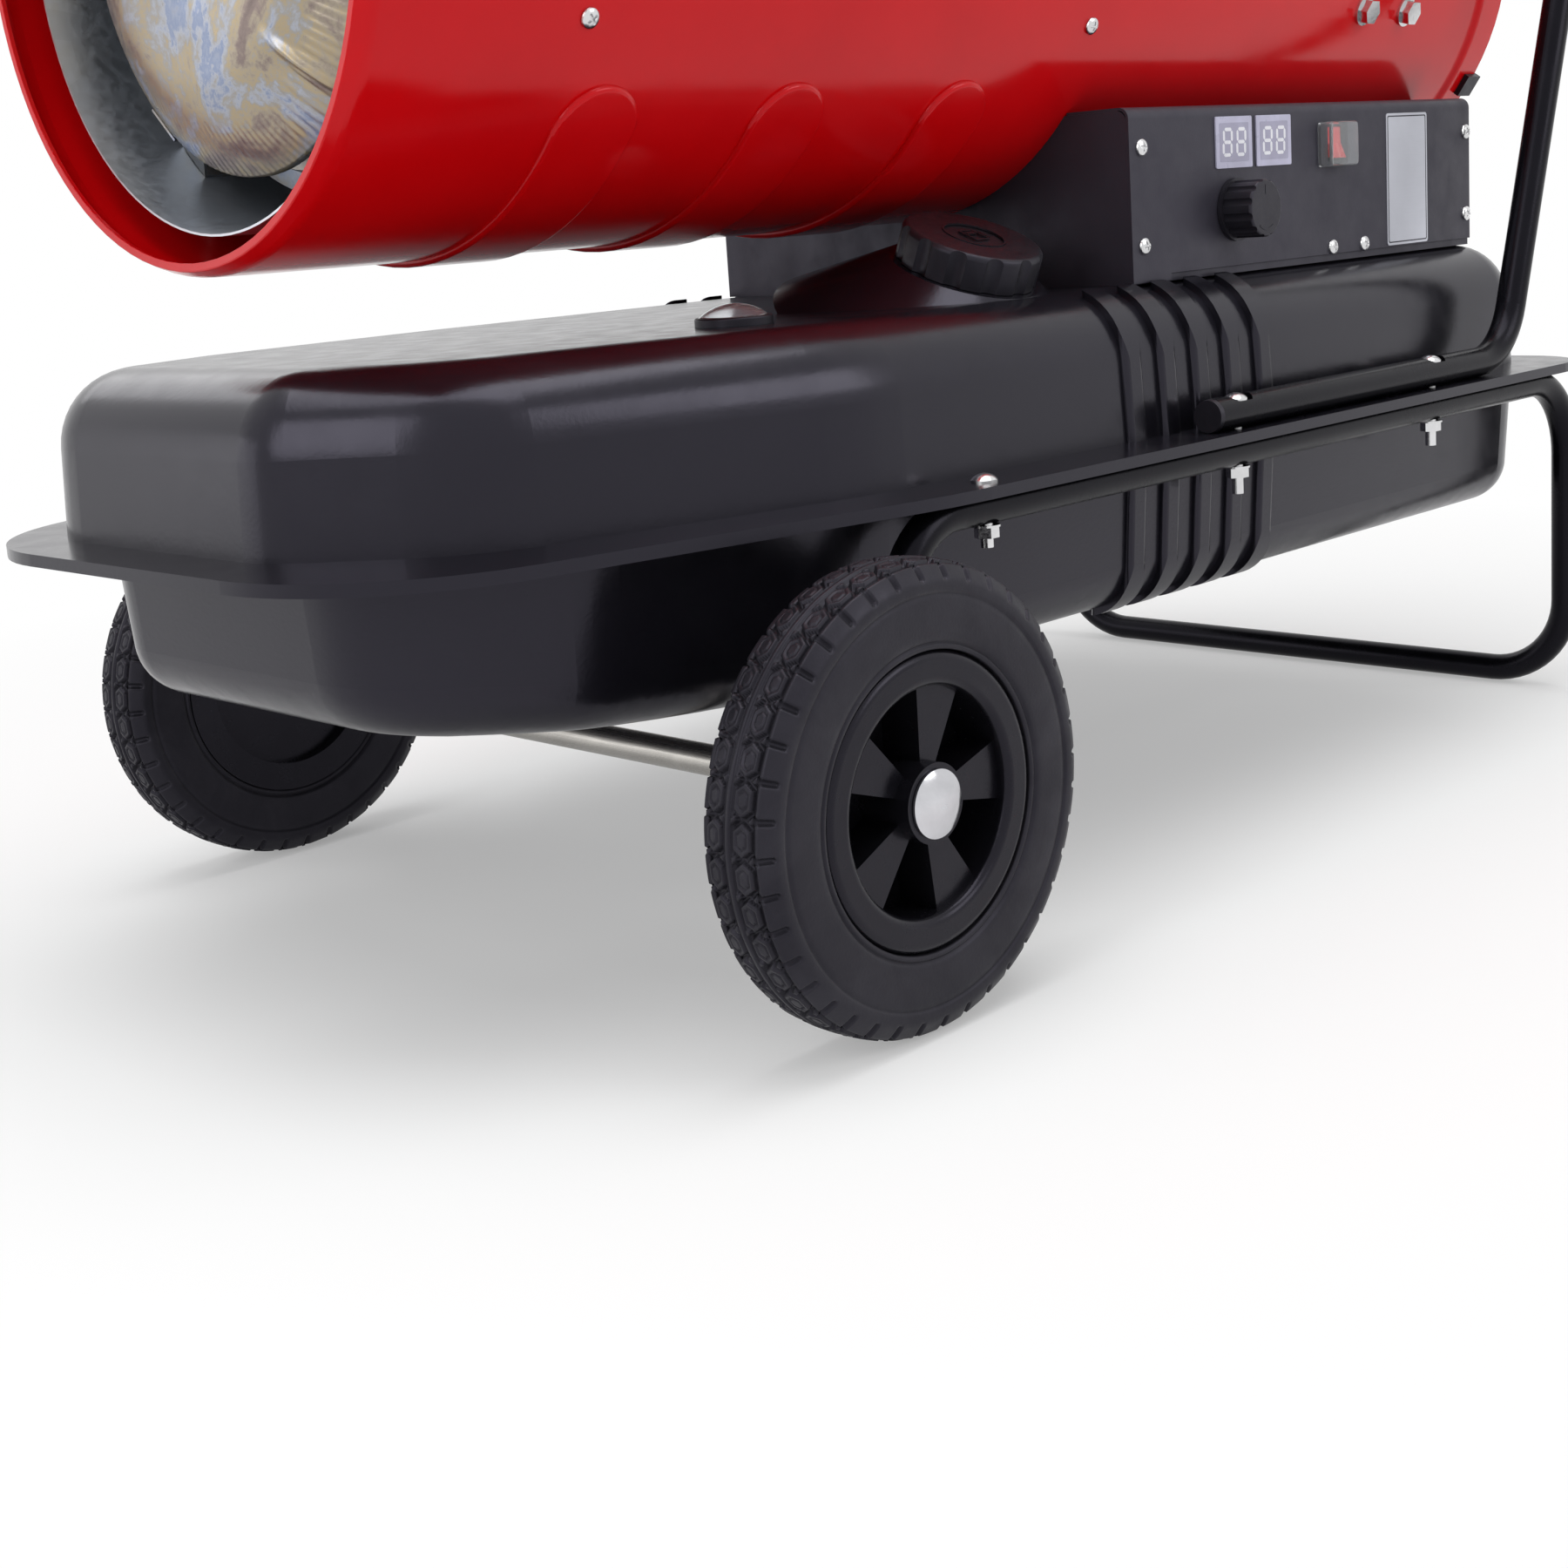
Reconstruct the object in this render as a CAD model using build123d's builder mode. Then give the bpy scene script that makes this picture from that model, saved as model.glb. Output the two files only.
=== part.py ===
from build123d import *
from build123d.topology import SkipClean
from math import atan2, cos, degrees, radians, sin, sqrt, tan
import os

# Forced air heater on two wheels.  Millimetres, +Z up from the floor, +X towards the
# handle, -X the hot-air outlet, -Y the control panel side.

os.makedirs("parts", exist_ok=True)

# ---------------------------------------------------------------- driving dimensions

# Overall layout
flange_length = 918.0
handle_reach = 48.0
axle_setback = 210.0
front_end = -(flange_length + handle_reach) / 2
rear_end = -front_end
flange_rear = front_end + flange_length
axle_x = front_end + axle_setback

# Sheet metal and clearances
sheet = 1.2
seat_gap = 0.05
run_gap = 0.05
side_gap = 0.3
hole_gap = 0.3

# Wheels and axle
wheel_radius = 100.0
tyre_width = 38.0
wheel_face_y = 258.4
rim_radius = 63.0
rim_ring_radius = 48.0
rim_inset = 1.0
hub_radius = 17.0
spoke_count = 5
spoke_turn = 75.0
spoke_hub_width = 9.0
spoke_rim_width = 27.0
spoke_inset = 6.0
pocket_depth = 26.0
web_thickness = 4.0
axle_radius = 7.25
axle_cap_radius = 14.5
axle_cap_height = 4.6
spacer_radius = 11.0
axle_z = wheel_radius

# Tank
flange_z = 213.4
tank_top_z = 290.0
tank_bottom_z = 127.0
tank_front_rise = 28.0
flange_width = 430.0
wall_width = 358.0
lip_depth = 5.6
top_draft = 3.0
bottom_draft = 4.0
top_round = 36.0
bottom_round = 26.0
wall_front_inset = 30.0
wall_rear_inset = 14.0
flange_nose_width = 326.0
flange_nose_length = 280.0

# Side beads of the tank
bead_x = axle_x + 315.0
bead_count = 5
bead_pitch = 29.5
bead_width = 15.0
bead_height = 3.5
bead_clearance = 1.0

# Filler
cap_tilt = 22.5
cap_top_x = axle_x + 214.0
cap_top_y = -115.0
cap_top_z = 322.0
cap_radius = 36.3
cap_height = 18.0
cap_lobes = 12
cap_lobe_depth = 1.8
cap_disc_radius = 16.75
boss_radius = 40.0
boss_flare = 1.44
neck_radius = 27.0
neck_wall = 3.0
neck_rise = 11.0
neck_depth = 22.0
thread_pitch = 6.0
thread_height = 0.8
thread_gap = 0.4
strainer_wall = 0.8
strainer_length = 60.0
gasket_thickness = 1.5

# Fuel gauge
gauge_x = axle_x + 66.0
gauge_y = -91.0
gauge_radius = 18.5
gauge_body_radius = 14.0
gauge_base_height = 4.0
gauge_dome_height = 6.0
float_pivot_drop = 28.0
float_arm = 95.0
float_angle = 35.0
float_radius = 10.0

# Stand and handle tubes
tube_y = 200.0
stand_radius = 8.5
handle_radius = 8.7
tube_wall = 1.5
stand_front_x = axle_x + 67.0
stand_rear_x = flange_rear - 18.0
lug_radius = 12.0
lug_thickness = 5.0
handle_front_x = axle_x + 292.0
handle_bend_x = flange_rear - 102.3
handle_top_z = 632.0
handle_bend_radius = 45.0
handle_corner_radius = 60.0
plug_length = 3.0

# Flange bolts
bolt_radius = 3.0
short_bolt_x = axle_x + 110.6
long_bolt_xs = [axle_x + 314.5, axle_x + 516.5]
bolt_head_radius = 6.25
bolt_head_height = 4.0
nut_height = 5.0
nut_washer_radius = 6.6
bolt_overhang = 14.5
short_bolt_overhang = 10.5
tube_flat_depth = 3.0

# Barrel
barrel_z = 478.2
barrel_front = axle_x - 159.7
barrel_length = 872.0
barrel_radius = 149.0
mouth_radius = 146.0
mouth_length = 7.0
band_length = 24.0
band_radius = 151.5
rib_xs = [axle_x - 29.0, axle_x + 86.0, axle_x + 203.0]
rib_width = 46.0
rib_height = 2.6
rib_tip_angle = 33.0

# Outlet
liner_setback = 15.2
liner_radius = 132.0
liner_sheet = 1.0
burner_bay = 140.5
standoff_radius = 5.0
standoff_xs = [axle_x - 48.0, axle_x + 287.0]
standoff_angle = 22.0
disc_setback = 35.7
disc_radius = 108.0
disc_depth = 30.0
disc_shoulder_radius = 66.0
disc_shoulder_drop = 7.0
chamber_radius = 118.0
chamber_setback = 64.7
chamber_nose = 10.0
chamber_mouth_radius = 92.0
bracket_width = 22.0
bracket_angles = [42.0, 132.0, 222.0, 312.0]

# Burner
burner_hole_radius = 40.0
burner_plate_radius = 52.0
nozzle_radius = 8.0
nozzle_nose = 14.0
nozzle_body = 36.0
electrode_radius = 3.5
electrode_offset = 24.0
sensor_radius = 6.0

# Fan, motor and pump
shaft_radius = 6.0
fan_x = axle_x + 470.0
fan_radius = 135.0
fan_depth = 35.0
fan_blades = 5
fan_hub_radius = 22.0
motor_x = axle_x + 520.0
motor_length = 110.0
motor_radius = 60.0
motor_bolt_xs = [axle_x + 549.3, axle_x + 597.5]
motor_bolt_angle = 17.5
bracket_sheet = 2.5
pump_length = 35.0
pump_radius = 45.0
pump_bore = 30.0
pump_rotor_radius = 26.0
pump_eccentric = 3.0
filter_length = 24.0
filter_radius = 48.0
guard_wire = 1.6
guard_spoke_wire = 1.3
guard_rings = [44.0, 66.0, 88.0, 110.0, 130.0]
guard_spokes = 8
guard_disc_radius = 22.0
guard_setback = 6.0
clip_angles = [35.0, 145.0, 215.0, 325.0]

# Hoses
air_hose_radius = 4.0
fuel_hose_radius = 3.5
fuel_run = 54.5
fuel_pickup_y = 40.0
fuel_pickup_z = 140.0
air_hose_low_z = 297.5
air_hose_bend = 30.0

# Pedestal
pedestal_x = axle_x + 296.8
pedestal_length = 361.2
pedestal_half_width = 152.0
pedestal_top_z = 380.7
panel_bottom_z = 294.0
panel_tab_z = 290.6
panel_tab_length = 34.0
panel_sheet = 1.5
panel_bend = 6.0
flange_strip = 16.0
foot_inset = 9.0
foot_strip = 16.0
front_screw_inset = 10.2
rear_screw_inset = 5.7
panel_screw_top = 20.7
panel_screw_bottom = 71.2
lower_screw_xs = [axle_x + 492.7, axle_x + 527.9]
lower_screw_z = 298.0
screw_head_radius = 4.5
screw_head_height = 2.6
screw_radius = 1.9

# Controls
display_xs = [axle_x + 392.4, axle_x + 432.0]
display_z = 360.5
display_width = 35.0
display_height = 27.5
display_proud = 0.8
display_depth = 8.0
knob_x = axle_x + 392.0
knob_z = 324.3
knob_radius = 15.5
knob_skirt_radius = 17.0
knob_height = 20.0
knob_flutes = 12
spindle_radius = 3.0
switch_x = axle_x + 494.4
switch_z = 356.5
switch_width = 28.6
switch_height = 23.4
switch_bezel = 1.5
switch_depth = 21.0
cover_depth = 9.0
cover_wall = 0.8
cover_gap = 0.2
rocker_width = 12.8
rocker_height = 18.0
rocker_tilt = 12.0
rocker_pin_radius = 1.5
plate_x = axle_x + 579.5
plate_z = 333.9
plate_width = 48.4
plate_height = 77.8
plate_thickness = 0.4
board_gap = 24.0
gland_y = 60.0
gland_z = 317.0
gland_radius = 12.0
gland_bore = 4.5

# ---------------------------------------------------------------- shared geometry

flange_top = flange_z + sheet
flange_under = flange_z - sheet
stand_z = flange_under - stand_radius - seat_gap
handle_z = flange_top + handle_radius + seat_gap
wheel_inner_y = wheel_face_y - tyre_width
barrel_rear = barrel_front + barrel_length
barrel_inside = barrel_radius - sheet
barrel_axis = Axis((0, 0, barrel_z), (1, 0, 0))
pedestal_rear = pedestal_x + pedestal_length
liner_front = barrel_front + liner_setback
liner_rear = fan_x - burner_bay
liner_inside = liner_radius - liner_sheet
nozzle_rear = liner_rear + nozzle_body
fuel_pickup_x = nozzle_rear + fuel_run
disc_rim_x = barrel_front + disc_setback
chamber_front = barrel_front + chamber_setback
motor_rear = motor_x + motor_length
pump_rear = motor_rear + pump_length
filter_rear = pump_rear + filter_length
wall_y = wall_width / 2
bead_lean = (tank_top_z + bead_height - flange_z) * tan(radians(top_draft))
bead_reach = wall_y - bead_lean - pedestal_half_width - bead_clearance


def closed_outline(near, far):
    """Closed outline from (x, distance off the middle, corner radius) points of each side."""
    points = [(x, -y) for x, y, r in near]
    points += [(x, y) for x, y, r in reversed(far)]
    radii = [r for x, y, r in near]
    radii += [r for x, y, r in reversed(far)]
    with BuildSketch() as outline:
        with BuildLine():
            FilletPolyline(*points, radius=radii, close=True)
        make_face()
    return outline.sketch


def on_barrel(x, angle, radius):
    """Plane at a radius round the barrel axis, facing outwards; angle 0 is +Y, 90 is up."""
    across = cos(radians(angle))
    up = sin(radians(angle))
    return Plane(
        origin=(x, radius * across, barrel_z + radius * up),
        x_dir=(1, 0, 0),
        z_dir=(0, across, up),
    )


def tube(points, radii, radius, bore):
    """Round tube along straight runs joined by arcs."""
    with BuildPart() as run:
        with BuildLine() as path:
            FilletPolyline(*points, radius=radii)
        with BuildSketch(Plane(origin=path.line @ 0, z_dir=path.line % 0)):
            Circle(radius)
            if bore:
                Circle(bore, mode=Mode.SUBTRACT)
        sweep()
    return run.part


wall_front_x = front_end + wall_front_inset
wall_bend_x = axle_x + 60
wall_sides = [
    (wall_bend_x, wall_y, 200),
    (flange_rear - wall_rear_inset, wall_y, 45),
]
near_wall = [(wall_front_x, 62, 42), (wall_front_x + 53, 136, 80)] + wall_sides
far_wall = [(wall_front_x, 130, 60), (wall_front_x + 90, 165, 80)] + wall_sides
flange_corners = [
    (front_end, flange_nose_width / 2, 100),
    (front_end + flange_nose_length, flange_width / 2, 300),
    (flange_rear, flange_width / 2, 50),
]
wall_outline = closed_outline(near_wall, far_wall)
flange_outline = closed_outline(flange_corners, flange_corners)
looking_down = Plane(origin=(0, 0, flange_z), x_dir=(1, 0, 0), z_dir=(0, 0, -1))


def upper_form(grow):
    """Rounded upper half of the tank, its wall moved outwards by grow."""
    with BuildPart() as form:
        with BuildSketch(Plane.XY.offset(flange_z)):
            add(wall_outline)
            if grow:
                offset(amount=grow)
        extrude(amount=tank_top_z - flange_z + grow, taper=top_draft)
        fillet(form.faces().sort_by(Axis.Z)[-1].edges(), top_round + grow)
    return form.part


def lower_form(grow):
    """Rounded lower half of the tank, whose bottom rises towards the front."""
    low = tank_bottom_z - grow
    nose_x = front_end - 10
    with BuildPart() as form:
        with BuildSketch(looking_down):
            add(wall_outline)
            if grow:
                offset(amount=grow)
        extrude(amount=flange_z - low + 9, taper=bottom_draft)
        with BuildSketch(Plane.XZ):
            with BuildLine():
                Line((rear_end, low), (wall_bend_x, low))
                TangentArc(
                    (wall_bend_x, low), (nose_x, low + tank_front_rise), tangent=(-1, 0)
                )
                Polyline(
                    (nose_x, low + tank_front_rise),
                    (nose_x, flange_z + 1),
                    (rear_end, flange_z + 1),
                    (rear_end, low),
                )
            make_face()
        extrude(amount=flange_width, both=True, mode=Mode.INTERSECT)
        bottom_edges = form.edges().filter_by(lambda e: e.center().Z < low + 38)
        fillet(bottom_edges, bottom_round + grow)
    return form.part


def bead_bars(inset, rise, draft):
    """Rounded upright bars over both side walls, leaning with the wall."""
    first = bead_x - (bead_count - 1) * bead_pitch / 2
    depth = bead_reach + bead_height - 2 * inset
    with BuildPart() as bars:
        for side in (-1, 1):
            middle = side * (wall_y + bead_height / 2 - bead_reach / 2)
            places = [(first + i * bead_pitch, middle) for i in range(bead_count)]
            with BuildSketch(Plane.XY.offset(flange_z)):
                with Locations(*places):
                    RectangleRounded(bead_width - 2 * inset, depth, 3.4 - inset)
            lean = Vector(0, -side * tan(radians(draft)), 1 if rise > 0 else -1)
            extrude(amount=abs(rise), dir=lean)
    return bars.part


def bead_relief(form, inset, rise, draft):
    """The bars where they lie inside a grown tank form."""
    with BuildPart() as relief:
        add(form)
        add(bead_bars(inset, rise, draft), mode=Mode.INTERSECT)
    return relief.part


# Filler axis: leans towards the control panel side
cap_lean = radians(cap_tilt)
cap_axis_dir = Vector(0, -sin(cap_lean), cos(cap_lean))
cap_top = Vector(cap_top_x, cap_top_y, cap_top_z)
cap_seat = cap_top - cap_axis_dir * (cap_height + side_gap)
cap_plane = Plane(origin=cap_seat, x_dir=(1, 0, 0), z_dir=cap_axis_dir)
cap_section = Plane(origin=cap_seat, x_dir=(1, 0, 0), z_dir=(0, -cos(cap_lean), -sin(cap_lean)))
cap_axis = Axis(cap_seat, cap_axis_dir)
boss_drop = 36.0
neck_inside = neck_radius - neck_wall


def filler_boss(grow):
    """Tilted cone that carries the filler neck, cut off at the tank wall."""
    top = boss_radius + grow
    with BuildPart() as boss:
        with BuildSketch(cap_section):
            Polygon(
                (0, grow),
                (top, grow),
                (top + boss_flare * (boss_drop + grow), -boss_drop),
                (0, -boss_drop),
                align=None,
            )
        revolve(axis=cap_axis)
        with BuildSketch(Plane.XY.offset(flange_z)):
            add(wall_outline)
            if grow:
                offset(amount=grow)
        extrude(amount=tank_top_z - flange_z + 60, taper=top_draft, mode=Mode.INTERSECT)
    return boss.part


# ---------------------------------------------------------------- tank

bead_rise = tank_top_z - flange_z + 12
bead_drop = -(flange_z - tank_bottom_z + 12)
upper_outside = upper_form(0)
upper_inside = upper_form(-sheet)
upper_bead_outside = bead_relief(upper_form(bead_height), 0, bead_rise, top_draft)
upper_bead_inside = bead_relief(upper_form(bead_height - sheet), sheet, bead_rise, top_draft)
boss_outside = filler_boss(0)
boss_inside = filler_boss(-sheet)
foot_x = pedestal_length / 2 - foot_inset
foot_y = pedestal_half_width - foot_inset
pedestal_middle = pedestal_x + pedestal_length / 2
pedestal_foot_places = [(pedestal_middle + i * foot_x, j * foot_y) for i in (-1, 1) for j in (-1, 1)]
flange_bolt_xs = [short_bolt_x] + long_bolt_xs
flange_bolt_places = [(x, side * tube_y) for x in flange_bolt_xs for side in (-1, 1)]

with BuildPart() as tank_upper_shell:
    with BuildSketch(Plane.XY.offset(flange_top - lip_depth)):
        add(flange_outline)
    extrude(amount=lip_depth)
    with BuildSketch(Plane.XY.offset(flange_top - lip_depth)):
        add(flange_outline)
        offset(amount=-sheet)
    extrude(amount=lip_depth - sheet, mode=Mode.SUBTRACT)
    add(upper_outside)
    add(boss_outside)
    add(upper_bead_outside)
    add(upper_inside, mode=Mode.SUBTRACT)
    add(boss_inside, mode=Mode.SUBTRACT)
    add(upper_bead_inside, mode=Mode.SUBTRACT)
    with BuildSketch(cap_section):
        Polygon(
            (neck_inside, neck_rise),
            (neck_radius, neck_rise),
            (neck_radius, -sheet / 2),
            (neck_radius, -neck_depth),
            (neck_inside, -neck_depth),
            align=None,
        )
        for ridge in (2.5, 2.5 + thread_pitch):
            Polygon(
                (neck_inside, ridge),
                (neck_radius, ridge),
                (neck_radius + thread_height, ridge + 0.7),
                (neck_radius, ridge + 1.4),
                (neck_inside, ridge + 1.4),
                align=None,
            )
    revolve(axis=cap_axis)
    with BuildSketch(cap_plane):
        Circle(neck_inside)
    extrude(amount=-8, mode=Mode.SUBTRACT)
    with BuildSketch(Plane.XY.offset(tank_top_z)):
        with Locations((gauge_x, gauge_y)):
            Circle(gauge_body_radius + hole_gap)
        with Locations((fuel_pickup_x, fuel_pickup_y)):
            Circle(fuel_hose_radius + seat_gap)
        with Locations(*pedestal_foot_places):
            Circle(screw_radius + seat_gap)
    extrude(amount=-8, mode=Mode.SUBTRACT)
    with BuildSketch(Plane.XY.offset(flange_top)):
        with Locations(*flange_bolt_places):
            Circle(bolt_radius + hole_gap)
    extrude(amount=-3 * sheet, mode=Mode.SUBTRACT)
tank_upper_shell.part.label = "tank_upper_shell"
export_step(tank_upper_shell.part, "parts/tank_upper_shell.step")

lower_bead_outside = bead_relief(lower_form(bead_height), 0, bead_drop, bottom_draft)
lower_bead_inside = bead_relief(lower_form(bead_height - sheet), sheet, bead_drop, bottom_draft)
drain_x = axle_x + 600.0
drain_radius = 8.0
drain_head_radius = 11.0
drain_head_height = 6.0

with BuildPart() as tank_lower_shell:
    with BuildSketch(Plane.XY.offset(flange_under)):
        add(flange_outline)
        offset(amount=-sheet - side_gap)
    extrude(amount=sheet)
    add(lower_form(0))
    add(lower_bead_outside)
    add(lower_form(-sheet), mode=Mode.SUBTRACT)
    add(lower_bead_inside, mode=Mode.SUBTRACT)
    with BuildSketch(Plane.XY.offset(tank_bottom_z)):
        with Locations((drain_x, 0)):
            Circle(drain_radius + seat_gap)
    extrude(amount=2 * sheet, mode=Mode.SUBTRACT)
    with BuildSketch(Plane.XY.offset(flange_z)):
        with Locations(*flange_bolt_places):
            Circle(bolt_radius + hole_gap)
    extrude(amount=-2 * sheet, mode=Mode.SUBTRACT)
tank_lower_shell.part.label = "tank_lower_shell"
export_step(tank_lower_shell.part, "parts/tank_lower_shell.step")

with BuildPart() as drain_plug:
    with BuildSketch(Plane.XY.offset(tank_bottom_z - seat_gap)):
        with Locations((drain_x, 0)):
            RegularPolygon(drain_head_radius, 6)
    extrude(amount=-drain_head_height)
    with BuildSketch(Plane.XY.offset(tank_bottom_z - seat_gap)):
        with Locations((drain_x, 0)):
            Circle(drain_radius)
    extrude(amount=drain_head_height)
drain_plug.part.label = "drain_plug"
export_step(drain_plug.part, "parts/drain_plug.step")

# ---------------------------------------------------------------- filler cap

strainer_rim = neck_rise + seat_gap
strainer_top = strainer_rim + strainer_wall
strainer_radius = neck_inside - hole_gap
gasket_seat = strainer_top + side_gap
cap_ceiling = gasket_seat + gasket_thickness + side_gap
cap_bottom = side_gap
strainer_slots = 16

with BuildPart() as filler_strainer:
    with BuildSketch(cap_section):
        Polygon(
            (neck_radius, strainer_rim),
            (neck_radius, strainer_top),
            (strainer_radius - strainer_wall, strainer_top),
            (strainer_radius - strainer_wall, strainer_top - strainer_length + strainer_wall),
            (0, strainer_top - strainer_length + strainer_wall),
            (0, strainer_top - strainer_length),
            (strainer_radius, strainer_top - strainer_length),
            (strainer_radius, strainer_rim),
            align=None,
        )
    revolve(axis=cap_axis)
    with BuildSketch(cap_plane.offset(strainer_top - strainer_length + 4)):
        with PolarLocations(strainer_radius, strainer_slots):
            Rectangle(4 * strainer_wall, 3)
    extrude(amount=strainer_length - neck_rise - 12, mode=Mode.SUBTRACT)
filler_strainer.part.label = "filler_strainer"
export_step(filler_strainer.part, "parts/filler_strainer.step")

with BuildPart() as cap_gasket:
    with BuildSketch(cap_plane.offset(gasket_seat)):
        Circle(neck_radius)
        Circle(neck_inside - 1, mode=Mode.SUBTRACT)
    extrude(amount=gasket_thickness)
cap_gasket.part.label = "cap_gasket"
export_step(cap_gasket.part, "parts/cap_gasket.step")

lobe_cut_radius = 7.0
with BuildPart() as filler_cap:
    with BuildSketch(cap_plane.offset(cap_bottom)):
        Circle(cap_radius)
    extrude(amount=cap_height)
    fillet(filler_cap.faces().sort_by(cap_axis)[-1].edges(), 3)
    with BuildSketch(cap_plane.offset(cap_bottom)):
        with PolarLocations(cap_radius + lobe_cut_radius - cap_lobe_depth, cap_lobes):
            Circle(lobe_cut_radius)
    extrude(amount=cap_height, mode=Mode.SUBTRACT)
    with BuildSketch(cap_plane.offset(cap_bottom + cap_height)):
        Circle(cap_disc_radius)
    extrude(amount=-0.8, mode=Mode.SUBTRACT)
    with BuildSketch(cap_plane.offset(cap_bottom)):
        Circle(neck_radius + thread_height + thread_gap)
    extrude(amount=cap_ceiling - cap_bottom, mode=Mode.SUBTRACT)
filler_cap.part.label = "filler_cap"
export_step(filler_cap.part, "parts/filler_cap.step")

# ---------------------------------------------------------------- fuel gauge

gauge_plane = Plane(origin=(gauge_x, gauge_y, tank_top_z))
gauge_section = Plane(origin=(gauge_x, gauge_y, tank_top_z), x_dir=(1, 0, 0), z_dir=(0, -1, 0))
gauge_axis = Axis((gauge_x, gauge_y, tank_top_z), (0, 0, 1))
gauge_body_depth = 20.0
gauge_wall = 2.5
gauge_top = seat_gap + gauge_base_height
float_pivot = Vector(gauge_x, gauge_y, tank_top_z - float_pivot_drop)
pivot_plane = Plane(origin=float_pivot, x_dir=(1, 0, 0), z_dir=(0, 1, 0))
pivot_pin_radius = 1.5
float_hub_half = 5.7
ear_half = float_hub_half + side_gap
ear_thickness = 2.0
needle_spindle = 1.2

with BuildPart() as fuel_gauge_housing:
    with BuildSketch(gauge_plane.offset(seat_gap)):
        Circle(gauge_radius)
    extrude(amount=gauge_base_height)
    fillet(fuel_gauge_housing.faces().sort_by(Axis.Z)[-1].edges(), 1)
    with BuildSketch(gauge_plane.offset(seat_gap)):
        Circle(gauge_body_radius)
    extrude(amount=-gauge_body_depth)
    with BuildSketch(gauge_plane.offset(gauge_top)):
        Circle(gauge_body_radius - gauge_wall)
    extrude(amount=3 - gauge_top - gauge_body_depth, mode=Mode.SUBTRACT)
    with BuildSketch(gauge_plane.offset(seat_gap - gauge_body_depth)):
        with Locations((0, ear_half + ear_thickness / 2), (0, -ear_half - ear_thickness / 2)):
            Rectangle(8, ear_thickness)
    extrude(amount=gauge_body_depth - float_pivot_drop - 4)
    with BuildSketch(pivot_plane):
        Circle(pivot_pin_radius + run_gap)
    extrude(amount=ear_half + 2 * ear_thickness, both=True, mode=Mode.SUBTRACT)
    with BuildSketch(gauge_plane):
        Circle(needle_spindle + run_gap)
    extrude(amount=-gauge_body_depth, mode=Mode.SUBTRACT)
fuel_gauge_housing.part.label = "fuel_gauge_housing"
export_step(fuel_gauge_housing.part, "parts/fuel_gauge_housing.step")

lens_radius = gauge_radius - 2
lens_wall = 1.2
lens_seat = gauge_top + seat_gap
with BuildPart() as fuel_gauge_lens:
    with BuildSketch(gauge_section):
        with BuildLine():
            TangentArc(
                (0, lens_seat + gauge_dome_height), (lens_radius, lens_seat), tangent=(1, 0)
            )
            Line((lens_radius, lens_seat), (lens_radius - lens_wall, lens_seat))
            TangentArc(
                (0, lens_seat + gauge_dome_height - lens_wall),
                (lens_radius - lens_wall, lens_seat),
                tangent=(1, 0),
            )
            Line((0, lens_seat + gauge_dome_height - lens_wall), (0, lens_seat + gauge_dome_height))
        make_face()
    revolve(axis=gauge_axis)
fuel_gauge_lens.part.label = "fuel_gauge_lens"
export_step(fuel_gauge_lens.part, "parts/fuel_gauge_lens.step")

with BuildPart() as fuel_gauge_pointer:
    with BuildSketch(gauge_plane.offset(gauge_top - 1.5)):
        Circle(2.4)
        with Locations((3.5, 0)):
            Rectangle(11, 1.6)
    extrude(amount=0.8)
    with BuildSketch(gauge_plane.offset(gauge_top - 1.5)):
        Circle(needle_spindle)
    extrude(amount=1.5 - gauge_top - gauge_body_depth + 1)
fuel_gauge_pointer.part.label = "fuel_gauge_pointer"
export_step(fuel_gauge_pointer.part, "parts/fuel_gauge_pointer.step")

arm_dir = Vector(cos(radians(float_angle)), 0, -sin(radians(float_angle)))
with BuildPart() as gauge_float:
    with BuildSketch(pivot_plane):
        Circle(3.5)
    extrude(amount=float_hub_half, both=True)
    with BuildSketch(pivot_plane):
        Circle(pivot_pin_radius)
    extrude(amount=ear_half + ear_thickness, both=True)
    with BuildSketch(Plane(origin=float_pivot, x_dir=(0, 1, 0), z_dir=arm_dir)):
        Circle(1.4)
    extrude(amount=float_arm)
    with Locations(float_pivot + arm_dir * float_arm):
        Sphere(float_radius)
gauge_float.part.label = "gauge_float"
export_step(gauge_float.part, "parts/gauge_float.step")

# ---------------------------------------------------------------- stand and handle

leg_dir = Vector(stand_front_x - axle_x, 0, stand_z - axle_z).normalized()
lug_reach = 22.0
flattened_length = 24.0
foot_z = stand_radius
stand_bends = [40, 50, 50, 50, 50, 40]
stand_points = []
for side in (-1, 1):
    leg_start = Vector(axle_x, side * tube_y, axle_z) + leg_dir * (lug_reach + flattened_length)
    run = [
        leg_start,
        Vector(stand_front_x, side * tube_y, stand_z),
        Vector(stand_rear_x, side * tube_y, stand_z),
        Vector(stand_rear_x, side * tube_y, foot_z),
    ]
    stand_points += run if side < 0 else list(reversed(run))

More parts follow.
